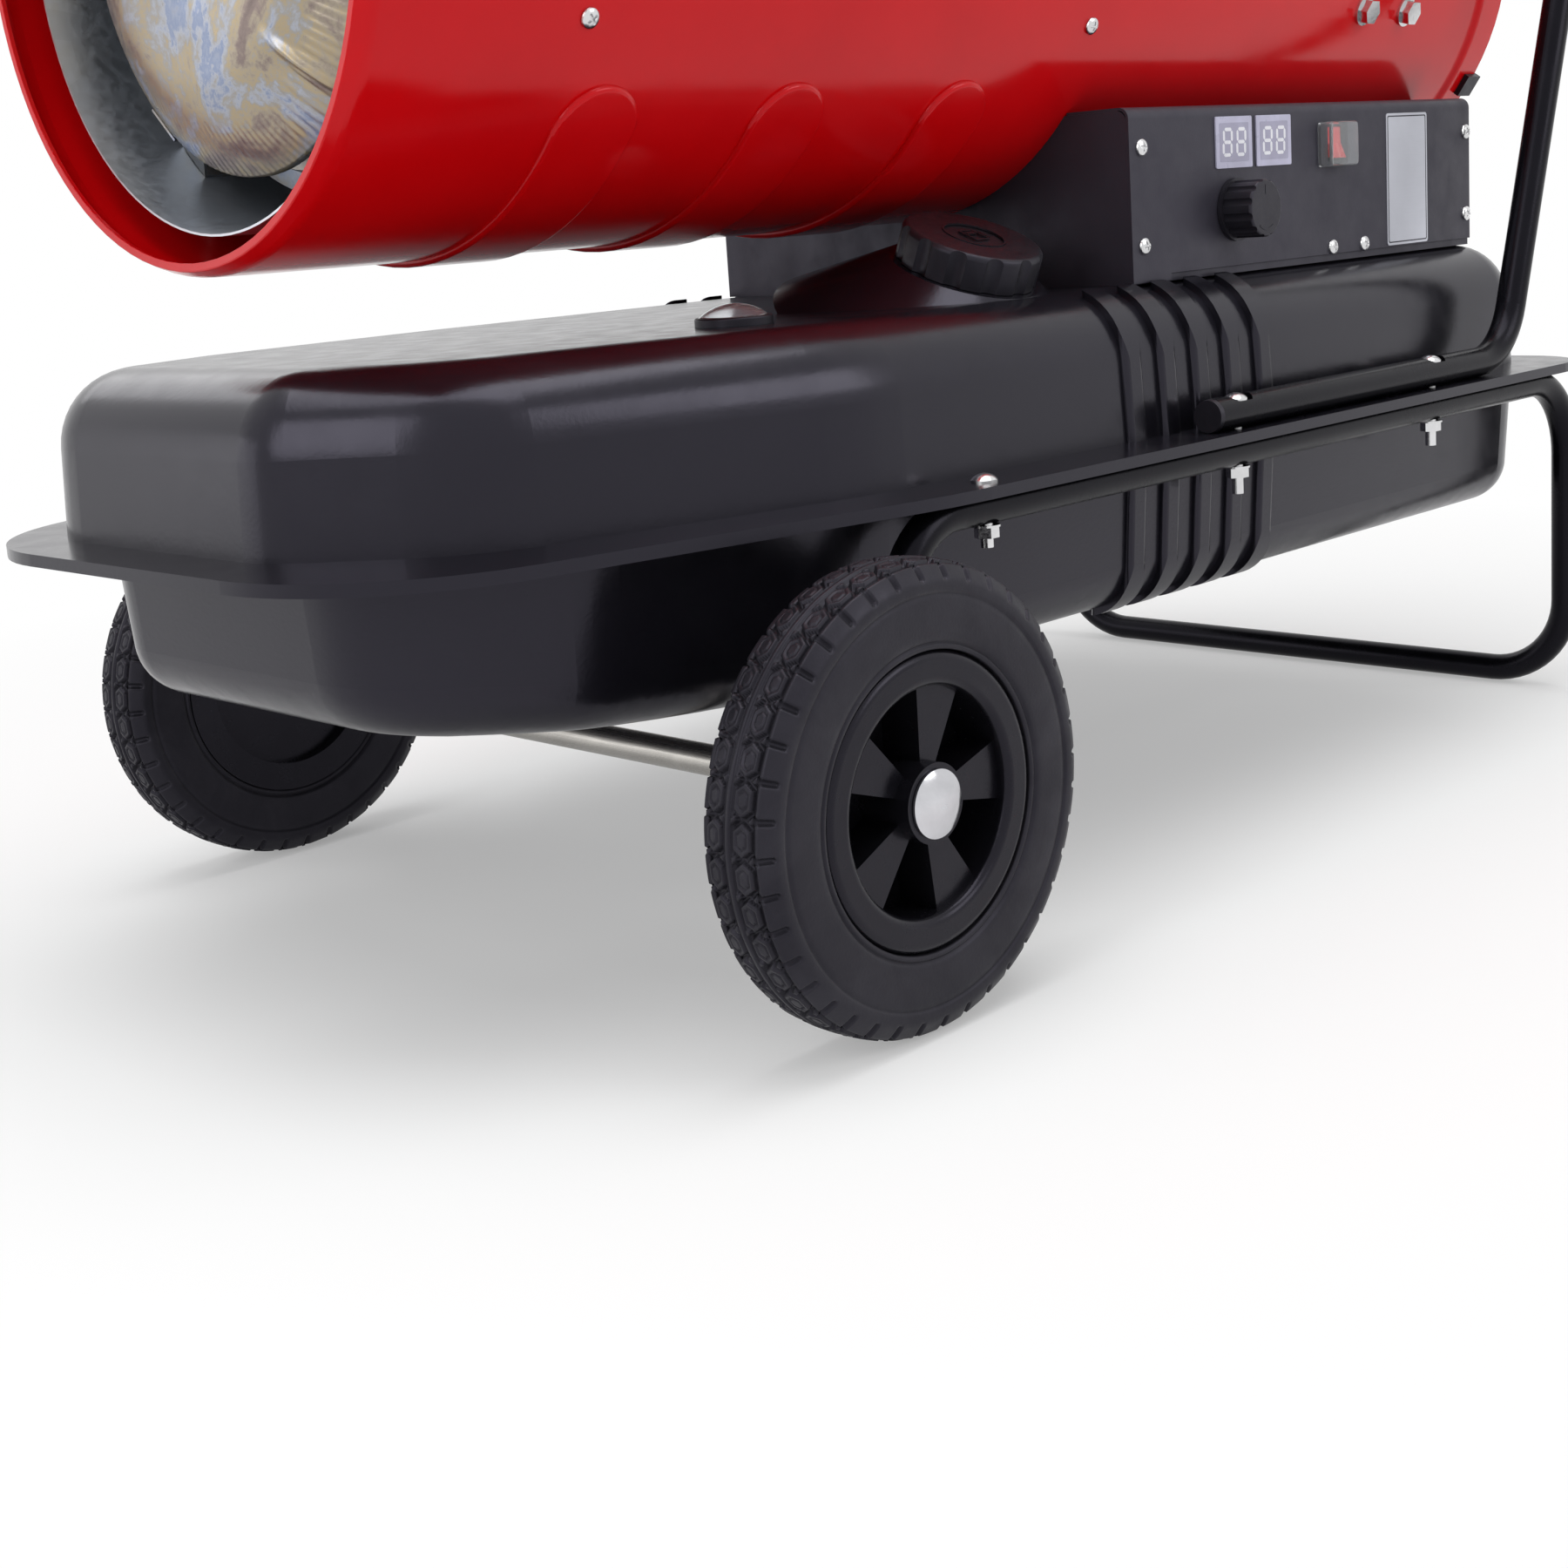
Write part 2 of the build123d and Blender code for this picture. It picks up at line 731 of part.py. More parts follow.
with BuildPart() as stand_frame:
    add(tube(stand_points, stand_bends, stand_radius, stand_radius - tube_wall))
    for side in (-1, 1):
        hub = Vector(axle_x, side * tube_y, axle_z)
        round_end = hub + leg_dir * (lug_reach + flattened_length)
        with BuildSketch(Plane(origin=round_end, x_dir=(0, 1, 0), z_dir=-leg_dir)):
            Circle(stand_radius)
        with BuildSketch(Plane(origin=hub + leg_dir * lug_reach, x_dir=(0, 1, 0), z_dir=-leg_dir)):
            Ellipse(lug_thickness / 2, lug_radius)
        loft()
        with BuildSketch(Plane(origin=hub, x_dir=leg_dir, z_dir=(0, 1, 0))):
            Circle(lug_radius)
            with Locations((lug_reach / 2, 0)):
                Rectangle(lug_reach, 2 * lug_radius)
        extrude(amount=lug_thickness / 2, both=True)
        with BuildSketch(Plane(origin=hub, x_dir=leg_dir, z_dir=(0, 1, 0))):
            Circle(axle_radius + 2 * run_gap)
        extrude(amount=lug_thickness, both=True, mode=Mode.SUBTRACT)
    with BuildSketch(Plane.XY.offset(stand_z - 2 * stand_radius)):
        with Locations(*flange_bolt_places):
            Circle(bolt_radius + hole_gap)
    extrude(amount=4 * stand_radius, mode=Mode.SUBTRACT)
stand_frame.part.label = "stand_frame"
export_step(stand_frame.part, "parts/stand_frame.step")

handle_top_x = rear_end - handle_radius
handle_points = []
for side in (-1, 1):
    run = [
        Vector(handle_front_x, side * tube_y, handle_z),
        Vector(handle_bend_x, side * tube_y, handle_z),
        Vector(handle_top_x, side * tube_y, handle_top_z),
    ]
    handle_points += run if side < 0 else list(reversed(run))
handle_bends = [handle_bend_radius, handle_corner_radius, handle_corner_radius, handle_bend_radius]
handle_flat_z = handle_z + handle_radius - tube_flat_depth
long_bolt_places = [(x, side * tube_y) for x in long_bolt_xs for side in (-1, 1)]
flat_length = 20.0

with BuildPart() as handle_tube:
    add(tube(handle_points, handle_bends, handle_radius, handle_radius - tube_wall))
    for x, y in long_bolt_places:
        with BuildSketch(Plane(origin=(x - flat_length / 2, y, handle_z), z_dir=(1, 0, 0))):
            Circle(handle_radius)
        extrude(amount=flat_length)
    with BuildSketch(Plane.XY.offset(handle_flat_z)):
        with Locations(*long_bolt_places):
            SlotOverall(flat_length, 2.3 * bolt_head_radius)
    extrude(amount=handle_radius, mode=Mode.SUBTRACT)
    with BuildSketch(Plane.XY.offset(handle_z - handle_radius)):
        with Locations(*long_bolt_places):
            Circle(bolt_radius + hole_gap)
    extrude(amount=2 * handle_radius, mode=Mode.SUBTRACT)
handle_tube.part.label = "handle_tube"
export_step(handle_tube.part, "parts/handle_tube.step")

with BuildPart() as handle_plugs:
    for side in (-1, 1):
        plug_face = Plane(origin=(handle_front_x - seat_gap, side * tube_y, handle_z), z_dir=(-1, 0, 0))
        with BuildSketch(plug_face):
            Circle(handle_radius)
        extrude(amount=plug_length, taper=8)
        with BuildSketch(plug_face):
            Circle(handle_radius - tube_wall - seat_gap)
        extrude(amount=-3 * plug_length)
handle_plugs.part.label = "handle_plugs"
export_step(handle_plugs.part, "parts/handle_plugs.step")

nut_top = stand_z - stand_radius - seat_gap
washer_height = 1.0
flange_bolt_seats = [(x, y, flange_top, short_bolt_overhang) for x, y in flange_bolt_places[:2]]
flange_bolt_seats += [(x, y, handle_flat_z, bolt_overhang) for x, y in long_bolt_places]


def domed_head(place, radius, height):
    """Low round screw head standing on a plane, as a separate solid."""
    section = Plane(origin=place.origin, x_dir=place.x_dir, z_dir=-place.y_dir)
    with BuildPart() as head:
        with BuildSketch(section):
            with BuildLine():
                Polyline((0, height), (0, 0), (radius, 0), (radius, height / 4))
                TangentArc((0, height), (radius, height / 4), tangent=(1, 0))
            make_face()
        revolve(axis=Axis(place.origin, place.z_dir))
    return head.part


with BuildPart() as flange_bolts:
    for x, y, seat_z, overhang in flange_bolt_seats:
        bolt_seat = Plane(origin=(x, y, seat_z + seat_gap))
        add(domed_head(bolt_seat, bolt_head_radius, bolt_head_height))
        with BuildSketch(bolt_seat):
            Circle(bolt_radius)
        extrude(amount=-(seat_z + seat_gap - nut_top + overhang))
flange_bolts.part.label = "flange_bolts"
export_step(flange_bolts.part, "parts/flange_bolts.step")

with BuildPart() as flange_nuts:
    for x, y in flange_bolt_places:
        with BuildSketch(Plane(origin=(x, y, nut_top))):
            Circle(nut_washer_radius)
        extrude(amount=-washer_height)
        with BuildSketch(Plane(origin=(x, y, nut_top - washer_height))):
            RegularPolygon(5.8, 6)
        extrude(amount=-nut_height)
        with BuildSketch(Plane(origin=(x, y, nut_top))):
            Circle(bolt_radius + seat_gap)
        extrude(amount=-washer_height - nut_height, mode=Mode.SUBTRACT)
flange_nuts.part.label = "flange_nuts"
export_step(flange_nuts.part, "parts/flange_nuts.step")

# ---------------------------------------------------------------- running gear

wheel_axis = Axis((axle_x, 0, axle_z), (0, 1, 0))
wheel_section = Plane(origin=(axle_x, 0, axle_z), x_dir=(1, 0, 0), z_dir=(0, 0, 1))
cap_seat_y = wheel_face_y + side_gap
axle_end = cap_seat_y + 2.0

with BuildPart() as axle:
    with BuildSketch(Plane(origin=(axle_x, 0, axle_z), x_dir=(1, 0, 0), z_dir=(0, 1, 0))):
        Circle(axle_radius)
    extrude(amount=axle_end, both=True)
axle.part.label = "axle"
export_step(axle.part, "parts/axle.step")

with BuildPart() as axle_spacers:
    for side in (-1, 1):
        lug_face = tube_y + lug_thickness / 2 + seat_gap
        spacer_length = wheel_inner_y - side_gap - lug_face
        with BuildSketch(
            Plane(origin=(axle_x, side * lug_face, axle_z), x_dir=(1, 0, 0), z_dir=(0, side, 0))
        ):
            Circle(spacer_radius)
            Circle(axle_radius + 2 * run_gap, mode=Mode.SUBTRACT)
        extrude(amount=spacer_length)
axle_spacers.part.label = "axle_spacers"
export_step(axle_spacers.part, "parts/axle_spacers.step")

with BuildPart() as axle_caps:
    for side in (-1, 1):
        cap_seat_plane = Plane(
            origin=(axle_x, side * cap_seat_y, axle_z), x_dir=(1, 0, 0), z_dir=(0, side, 0)
        )
        add(domed_head(cap_seat_plane, axle_cap_radius, axle_cap_height))
        with BuildSketch(cap_seat_plane):
            Circle(axle_radius + seat_gap)
        extrude(amount=axle_end - cap_seat_y + seat_gap, mode=Mode.SUBTRACT)
axle_caps.part.label = "axle_caps"
export_step(axle_caps.part, "parts/axle_caps.step")


def wheel_rim(side):
    """Moulded rim: hub, web, ring and wedge spokes set back from the ring."""
    outer = wheel_face_y - rim_inset
    width = tyre_width - 2 * rim_inset
    face = Plane(origin=(axle_x, side * outer, axle_z), x_dir=(1, 0, 0), z_dir=(0, side, 0))
    spoke_length = rim_ring_radius - hub_radius + 4
    spoke_side_angle = degrees(atan2(spoke_length, (spoke_rim_width - spoke_hub_width) / 2))
    with BuildPart() as rim:
        with BuildSketch(face):
            Circle(rim_radius - seat_gap)
        extrude(amount=-width)
        with BuildSketch(face):
            Circle(rim_ring_radius)
            Circle(hub_radius, mode=Mode.SUBTRACT)
        extrude(amount=-pocket_depth, mode=Mode.SUBTRACT)
        face_edges = rim.edges().filter_by(lambda e: abs(abs(e.center().Y) - outer) < 0.01)
        fillet(face_edges.filter_by(lambda e: e.radius > hub_radius + 1), 4)
        with BuildSketch(face.offset(-pocket_depth)):
            for i in range(spoke_count):
                with PolarLocations(
                    (hub_radius + rim_ring_radius) / 2, 1, spoke_turn + i * 360 / spoke_count
                ):
                    with Locations(Rotation(0, 0, 90)):
                        Trapezoid(spoke_rim_width, spoke_length, spoke_side_angle)
        extrude(amount=pocket_depth - spoke_inset)
        with BuildSketch(face.offset(-width)):
            Circle(rim_ring_radius)
            Circle(hub_radius, mode=Mode.SUBTRACT)
        extrude(amount=width - pocket_depth - web_thickness, mode=Mode.SUBTRACT)
        with BuildSketch(face):
            Circle(hub_radius)
        extrude(amount=rim_inset)
        with BuildSketch(face.offset(-width)):
            Circle(hub_radius)
        extrude(amount=-rim_inset)
        with BuildSketch(face.offset(rim_inset)):
            Circle(axle_radius + run_gap)
        extrude(amount=-tyre_width, mode=Mode.SUBTRACT)
    return rim.part


def wheel_tyre(side):
    """Tyre ring with round shoulders and a shallow crown."""
    half = tyre_width / 2
    middle = side * (wheel_face_y - half)
    tyre_profile = [
        (rim_radius, half - 1.5, 1),
        (rim_radius + 5, half, 4),
        (wheel_radius - 9, half, 6),
        (wheel_radius - 1.2, half - 5, 3),
        (wheel_radius, half - 9, 10),
    ]
    points = [(r, middle + w) for r, w, f in tyre_profile]
    points += [(r, middle - w) for r, w, f in reversed(tyre_profile)]
    radii = [f for r, w, f in tyre_profile]
    radii += [f for r, w, f in reversed(tyre_profile)]
    with BuildPart() as tyre:
        with BuildSketch(wheel_section):
            with BuildLine():
                FilletPolyline(*points, radius=radii, close=True)
            make_face()
        revolve(axis=wheel_axis)
    return tyre.part


for side, name in ((-1, "left"), (1, "right")):
    rim_part = wheel_rim(side)
    rim_part.label = "wheel_rim_" + name
    export_step(rim_part, "parts/wheel_rim_" + name + ".step")
    tyre_part = wheel_tyre(side)
    tyre_part.label = "tyre_" + name
    export_step(tyre_part, "parts/tyre_" + name + ".step")

# ---------------------------------------------------------------- barrel

barrel_section = Plane(origin=(0, 0, barrel_z), x_dir=(1, 0, 0), z_dir=(0, -1, 0))
band_x = barrel_rear - band_length
seam_lap = 8.0
hem_depth = 2.4


def across_barrel(x):
    """Plane square to the barrel axis; its first direction is +Y and its second is up."""
    return Plane(origin=(x, 0, barrel_z), x_dir=(0, 1, 0), z_dir=(1, 0, 0))


def barrel_tube():
    """Whole barrel wall: drawn-in hemmed mouth, plain tube and stepped-out rear band."""
    front = barrel_front
    profile = [
        (front, mouth_radius - sheet - hem_depth, 0.4),
        (front, mouth_radius, 0.9),
        (front + mouth_length, barrel_radius, 12),
        (band_x - 4, barrel_radius, 5),
        (band_x, band_radius, 5),
        (barrel_rear, band_radius, 0.4),
        (barrel_rear, band_radius - sheet, 0.4),
        (band_x, band_radius - sheet, 4),
        (band_x - 4, barrel_inside, 4),
        (front + mouth_length, barrel_inside, 12),
        (front + 2 * sheet, mouth_radius - sheet, 0.3),
        (front + 2 * sheet, mouth_radius - sheet - hem_depth, 0.4),
    ]
    with BuildPart() as wall:
        with BuildSketch(barrel_section):
            with BuildLine():
                FilletPolyline(
                    *[(x, r) for x, r, f in profile],
                    radius=[f for x, r, f in profile],
                    close=True,
                )
            make_face()
        revolve(axis=barrel_axis)
    return wall.part


def pressed_rib(x, width, top_radius, round_over):
    """Belt round the underside of the barrel, with half-round ends up its sides."""
    reach = 90 - rib_tip_angle - degrees(rib_width / 2 / barrel_radius)
    far = 1.5 * barrel_radius
    with BuildPart() as mask:
        with BuildSketch(across_barrel(x)):
            Polygon(
                (0, 0),
                (-far * tan(radians(reach)), -far),
                (far * tan(radians(reach)), -far),
                align=None,
            )
        extrude(amount=width / 2, both=True)
        for angle in (-90 - reach, -90 + reach):
            with BuildSketch(on_barrel(x, angle, barrel_radius / 2)):
                Circle(width / 2)
            extrude(amount=barrel_radius)
    with BuildPart() as rib:
        with BuildSketch(across_barrel(x)):
            Circle(top_radius)
            Circle(barrel_inside - sheet / 2, mode=Mode.SUBTRACT)
        extrude(amount=width, both=True)
        add(mask.part, mode=Mode.INTERSECT)
        if round_over:
            crown = rib.faces().filter_by(GeomType.CYLINDER).sort_by(lambda f: f.area)[-2:]
            outer = max(crown, key=lambda f: f.area)
            fillet(outer.edges(), round_over)
    return rib.part


seam_ring_outer = barrel_inside - seat_gap
seam_ring_inner = seam_ring_outer - sheet
seam_front = barrel_front + 3 * mouth_length
seam_length = band_x - mouth_length - seam_front
motor_bolt_angles = [-motor_bolt_angle, 180 + motor_bolt_angle]
standoff_angles = [-standoff_angle, 180 + standoff_angle]
motor_bolt_radius = 4.0
air_port_x = motor_rear + pump_length / 2
nozzle_port_x = liner_rear + 24.0

length_ends = [barrel_front - 1]
for x in rib_xs:
    length_ends += [x - rib_width / 2, x + rib_width / 2]
length_ends += [barrel_rear + 1]

with BuildPart() as ribbed_half:
    add(barrel_tube())
    for x in rib_xs:
        add(pressed_rib(x, rib_width, barrel_radius + rib_height, rib_height - 0.4))
    for x in rib_xs:
        hollow = pressed_rib(x, rib_width - 2 * sheet, barrel_radius + rib_height - sheet, 0)
        add(hollow, mode=Mode.SUBTRACT)
    split(bisect_by=Plane.XY.offset(barrel_z), keep=Keep.BOTTOM)

barrel_lengths = []
for start, end in zip(length_ends, length_ends[1:]):
    with BuildPart() as length:
        add(ribbed_half.part)
        with BuildSketch(across_barrel(start)):
            Circle(2 * barrel_radius)
        extrude(amount=end - start, mode=Mode.INTERSECT)
    barrel_lengths.append(length.part)

with BuildPart() as barrel_lower_shell, SkipClean():
    add(barrel_lengths)
    for side in (-1, 1):
        with BuildSketch(across_barrel(seam_front)):
            Circle(seam_ring_outer)
            Circle(seam_ring_inner, mode=Mode.SUBTRACT)
            with Locations((side * barrel_radius, 0)):
                Rectangle(barrel_radius, 2 * seam_lap, mode=Mode.INTERSECT)
        extrude(amount=seam_length)
        with BuildSketch(across_barrel(seam_front)):
            Circle(barrel_inside + sheet / 4)
            Circle(seam_ring_outer - sheet / 4, mode=Mode.SUBTRACT)
            with Locations((side * barrel_radius, -seam_lap / 2)):
                Rectangle(barrel_radius, seam_lap, mode=Mode.INTERSECT)
        extrude(amount=seam_length)
    for angle in motor_bolt_angles:
        for x in motor_bolt_xs:
            with BuildSketch(on_barrel(x, angle, barrel_radius + 1)):
                Circle(motor_bolt_radius + hole_gap)
            extrude(amount=-4 * sheet, mode=Mode.SUBTRACT)
    for angle in standoff_angles:
        for x in standoff_xs:
            with BuildSketch(on_barrel(x, angle, barrel_radius + 1)):
                Circle(screw_radius + seat_gap)
            extrude(amount=-4 * sheet, mode=Mode.SUBTRACT)
    with BuildSketch(Plane.XY.offset(barrel_z - barrel_radius - 5)):
        with Locations((air_port_x, 0), (nozzle_port_x, 0)):
            Circle(air_hose_radius + seat_gap)
        with Locations((fuel_pickup_x, fuel_pickup_y)):
            Circle(fuel_hose_radius + seat_gap)
    extrude(amount=barrel_radius / 3, mode=Mode.SUBTRACT)
barrel_lower_shell.part.label = "barrel_lower_shell"
export_step(barrel_lower_shell.part, "parts/barrel_lower_shell.step")

with BuildPart() as barrel_upper_shell:
    add(barrel_tube())
    split(bisect_by=Plane.XY.offset(barrel_z), keep=Keep.TOP)
barrel_upper_shell.part.label = "barrel_upper_shell"
export_step(barrel_upper_shell.part, "parts/barrel_upper_shell.step")

standoff_outer = sqrt(barrel_inside**2 - standoff_radius**2) - seat_gap
standoff_inner = liner_radius + seat_gap
screw_reach = 8.0

with BuildPart() as liner_standoffs:
    for angle in standoff_angles:
        for x in standoff_xs:
            with BuildSketch(on_barrel(x, angle, standoff_inner)):
                Circle(standoff_radius)
            extrude(amount=standoff_outer - standoff_inner)
            with BuildSketch(on_barrel(x, angle, standoff_outer)):
                Circle(screw_radius + seat_gap)
            extrude(amount=-screw_reach, mode=Mode.SUBTRACT)
liner_standoffs.part.label = "liner_standoffs"
export_step(liner_standoffs.part, "parts/liner_standoffs.step")

with BuildPart() as barrel_screws:
    for angle in standoff_angles:
        for x in standoff_xs:
            seat = on_barrel(x, angle, barrel_radius + seat_gap)
            add(domed_head(seat, screw_head_radius, screw_head_height))
            with BuildSketch(seat):
                Circle(screw_radius)
            extrude(amount=standoff_outer - screw_reach + 1 - barrel_radius)
barrel_screws.part.label = "barrel_screws"
export_step(barrel_screws.part, "parts/barrel_screws.step")

# ---------------------------------------------------------------- outlet and burner

with BuildPart() as outlet_liner:
    with BuildSketch(across_barrel(liner_front)):
        Circle(liner_radius)
        Circle(liner_inside, mode=Mode.SUBTRACT)
    extrude(amount=liner_rear - liner_front)
outlet_liner.part.label = "outlet_liner"
export_step(outlet_liner.part, "parts/outlet_liner.step")

disc_apex_x = disc_rim_x - disc_depth
disc_shoulder_x = disc_apex_x + disc_shoulder_drop
disc_skirt = 4.0

with BuildPart() as flame_deflector:
    with BuildSketch(barrel_section):
        with BuildLine():
            face_arc = TangentArc(
                (disc_apex_x, 0), (disc_shoulder_x, disc_shoulder_radius), tangent=(0, 1)
            )
            edge_arc = TangentArc(face_arc @ 1, (disc_rim_x, disc_radius), tangent=face_arc % 1)
            Polyline(
                edge_arc @ 1,
                (disc_rim_x + disc_skirt, disc_radius),
                (disc_rim_x + disc_skirt, disc_radius - sheet),
                (disc_rim_x + sheet, disc_radius - sheet),
            )
            back_arc = TangentArc(
                (disc_apex_x + sheet, 0),
                (disc_shoulder_x + sheet, disc_shoulder_radius),
                tangent=(0, 1),
            )
            TangentArc(
                back_arc @ 1, (disc_rim_x + sheet, disc_radius - sheet), tangent=back_arc % 1
            )
            Line((disc_apex_x, 0), (disc_apex_x + sheet, 0))
        make_face()
    revolve(axis=barrel_axis)
flame_deflector.part.label = "flame_deflector"
export_step(flame_deflector.part, "parts/flame_deflector.step")

bracket_foot_r = sqrt((liner_inside - seat_gap) ** 2 - (bracket_width / 2) ** 2)
bracket_tip_r = disc_radius + seat_gap
with BuildPart() as deflector_brackets:
    for angle in bracket_angles:
        along = Plane(
            origin=(0, 0, barrel_z),
            x_dir=(1, 0, 0),
            z_dir=(0, -sin(radians(angle)), cos(radians(angle))),
        )
        with BuildSketch(along):
            Polygon(
                (disc_rim_x, bracket_tip_r),
                (disc_rim_x, bracket_tip_r + sheet),
                (disc_rim_x + 14, bracket_tip_r + sheet),
                (disc_rim_x + 22, bracket_foot_r),
                (disc_rim_x + 40, bracket_foot_r),
                (disc_rim_x + 40, bracket_foot_r - sheet),
                (disc_rim_x + 23, bracket_foot_r - sheet),
                (disc_rim_x + 15, bracket_tip_r),
                align=None,
            )
        extrude(amount=bracket_width / 2, both=True)
deflector_brackets.part.label = "deflector_brackets"
export_step(deflector_brackets.part, "parts/deflector_brackets.step")

chamber_wall = 1.0
chamber_shoulder_x = chamber_front + chamber_nose
chamber_lug_half = 8.0
chamber_lug_r = sqrt((liner_inside - seat_gap) ** 2 - chamber_lug_half**2)
chamber_lug_xs = [chamber_shoulder_x + 30, liner_rear - 30]

with BuildPart() as combustion_chamber:
    with BuildSketch(barrel_section):
        Polygon(
            (liner_rear, burner_hole_radius),
            (liner_rear, chamber_radius),
            (chamber_shoulder_x, chamber_radius),
            (chamber_shoulder_x, chamber_radius - 9),
            (chamber_front, chamber_radius - 12),
            (chamber_front, chamber_mouth_radius),
            (chamber_front + chamber_wall, chamber_mouth_radius),
            (chamber_front + chamber_wall, chamber_radius - 12 - chamber_wall),
            (chamber_shoulder_x + chamber_wall, chamber_radius - 9 - chamber_wall),
            (chamber_shoulder_x + chamber_wall, chamber_radius - chamber_wall),
            (liner_rear - chamber_wall, chamber_radius - chamber_wall),
            (liner_rear - chamber_wall, burner_hole_radius),
            align=None,
        )
    revolve(axis=barrel_axis)
    for x in chamber_lug_xs:
        with BuildSketch(across_barrel(x)):
            with PolarLocations((chamber_radius + chamber_lug_r) / 2 - 0.25, 4):
                Rectangle(chamber_lug_r - chamber_radius + 0.5, 2 * chamber_lug_half)
        extrude(amount=sheet)
combustion_chamber.part.label = "combustion_chamber"
export_step(combustion_chamber.part, "parts/combustion_chamber.step")

burner_plate = 1.5
burner_seat = liner_rear + seat_gap
burner_back = burner_seat + burner_plate
electrode_place_y = [-electrode_offset / 2, electrode_offset / 2]
sensor_place = (0.75 * electrode_offset, -0.66 * electrode_offset)

with BuildPart() as burner_head:
    with BuildSketch(across_barrel(burner_seat)):
        Circle(burner_plate_radius)
        Circle(nozzle_radius + seat_gap, mode=Mode.SUBTRACT)
        with Locations(*[(y, electrode_offset) for y in electrode_place_y]):
            Circle(electrode_radius + seat_gap, mode=Mode.SUBTRACT)
        with Locations(sensor_place):
            Circle(sensor_radius + seat_gap, mode=Mode.SUBTRACT)
        with PolarLocations(burner_hole_radius - 8, 6, start_angle=0):
            Rectangle(8, 3, mode=Mode.SUBTRACT)
    extrude(amount=burner_plate)
burner_head.part.label = "burner_head"
export_step(burner_head.part, "parts/burner_head.step")

nozzle_collar_x = burner_back + seat_gap
with BuildPart() as nozzle:
    with BuildSketch(barrel_section):
        Polygon(
            (liner_rear - nozzle_nose, 0),
            (liner_rear - nozzle_nose, 2.5),
            (liner_rear - nozzle_nose / 2, nozzle_radius - 2),
            (liner_rear - nozzle_nose / 4, nozzle_radius),
            (nozzle_collar_x, nozzle_radius),
            (nozzle_collar_x, nozzle_radius + 5),
            (nozzle_collar_x + 3, nozzle_radius + 5),
            (nozzle_collar_x + 3, nozzle_radius),
            (nozzle_rear, nozzle_radius),
            (nozzle_rear, 0),
            align=None,
        )
    revolve(axis=barrel_axis)
nozzle.part.label = "nozzle"
export_step(nozzle.part, "parts/nozzle.step")

with BuildPart() as electrodes:
    with BuildSketch(across_barrel(liner_rear - 10)):
        with Locations(*[(y, electrode_offset) for y in electrode_place_y]):
            Circle(electrode_radius)
    extrude(amount=40)
    with BuildSketch(across_barrel(burner_back + seat_gap)):
        with Locations(*[(y, electrode_offset) for y in electrode_place_y]):
            Circle(electrode_radius + 2)
    extrude(amount=3)
    with BuildSketch(across_barrel(liner_rear - 22)):
        with Locations(*[(y, electrode_offset) for y in electrode_place_y]):
            Circle(1)
    extrude(amount=60)
electrodes.part.label = "electrodes"
export_step(electrodes.part, "parts/electrodes.step")

with BuildPart() as flame_sensor:
    with BuildSketch(across_barrel(liner_rear - 4)):
        with Locations(sensor_place):
            Circle(sensor_radius)
    extrude(amount=26)
    with BuildSketch(across_barrel(burner_back + seat_gap)):
        with Locations(sensor_place):
            Circle(sensor_radius + 2)
    extrude(amount=2)
flame_sensor.part.label = "flame_sensor"
export_step(flame_sensor.part, "parts/flame_sensor.step")

# ---------------------------------------------------------------- fan, motor and pump

with BuildPart() as motor_case:
    with BuildSketch(across_barrel(motor_x)):
        Circle(motor_radius)
    extrude(amount=motor_length)
    fillet(motor_case.edges(), 6)
    with BuildSketch(across_barrel(motor_x)):
        Circle(shaft_radius + run_gap)
    extrude(amount=motor_length, mode=Mode.SUBTRACT)
motor_case.part.label = "motor_case"
export_step(motor_case.part, "parts/motor_case.step")

shaft_front = fan_x - 8
shaft_rear = pump_rear - 2
with BuildPart() as motor_shaft:
    with BuildSketch(across_barrel(shaft_front)):
        Circle(shaft_radius)
    extrude(amount=shaft_rear - shaft_front)
motor_shaft.part.label = "motor_shaft"
export_step(motor_shaft.part, "parts/motor_shaft.step")

bracket_start = motor_bolt_xs[0] - 12
bracket_length = motor_bolt_xs[-1] - motor_bolt_xs[0] + 24
pad_half = 14.0
pad_thickness = 3.0
pad_outer = sqrt((barrel_inside - seat_gap) ** 2 - pad_half**2)
band_outer = motor_radius + seat_gap + bracket_sheet

with BuildPart() as motor_bracket:
    with BuildSketch(across_barrel(bracket_start)):
        Circle(band_outer)
        for angle in motor_bolt_angles:
            with PolarLocations((motor_radius + pad_outer) / 2, 1, start_angle=angle):
                Rectangle(pad_outer - motor_radius, bracket_sheet)
            with PolarLocations(pad_outer - pad_thickness / 2, 1, start_angle=angle):
                Rectangle(pad_thickness, 2 * pad_half)
        Circle(motor_radius + seat_gap, mode=Mode.SUBTRACT)
    extrude(amount=bracket_length)
    for angle in motor_bolt_angles:
        for x in motor_bolt_xs:
            with BuildSketch(on_barrel(x, angle, barrel_radius)):
                Circle(motor_bolt_radius + hole_gap)
            extrude(amount=-16, mode=Mode.SUBTRACT)
motor_bracket.part.label = "motor_bracket"
export_step(motor_bracket.part, "parts/motor_bracket.step")

with BuildPart() as motor_bolts:
    for angle in motor_bolt_angles:
        for x in motor_bolt_xs:
            seat = on_barrel(x, angle, barrel_radius + seat_gap)
            with BuildSketch(seat):
                Circle(2.2 * motor_bolt_radius)
            extrude(amount=1.5)
            with BuildSketch(seat.offset(1.5)):
                RegularPolygon(7.5, 6)
            extrude(amount=5.3)
            with BuildSketch(seat):
                Circle(motor_bolt_radius)
            extrude(amount=-14)
motor_bolts.part.label = "motor_bolts"
export_step(motor_bolts.part, "parts/motor_bolts.step")

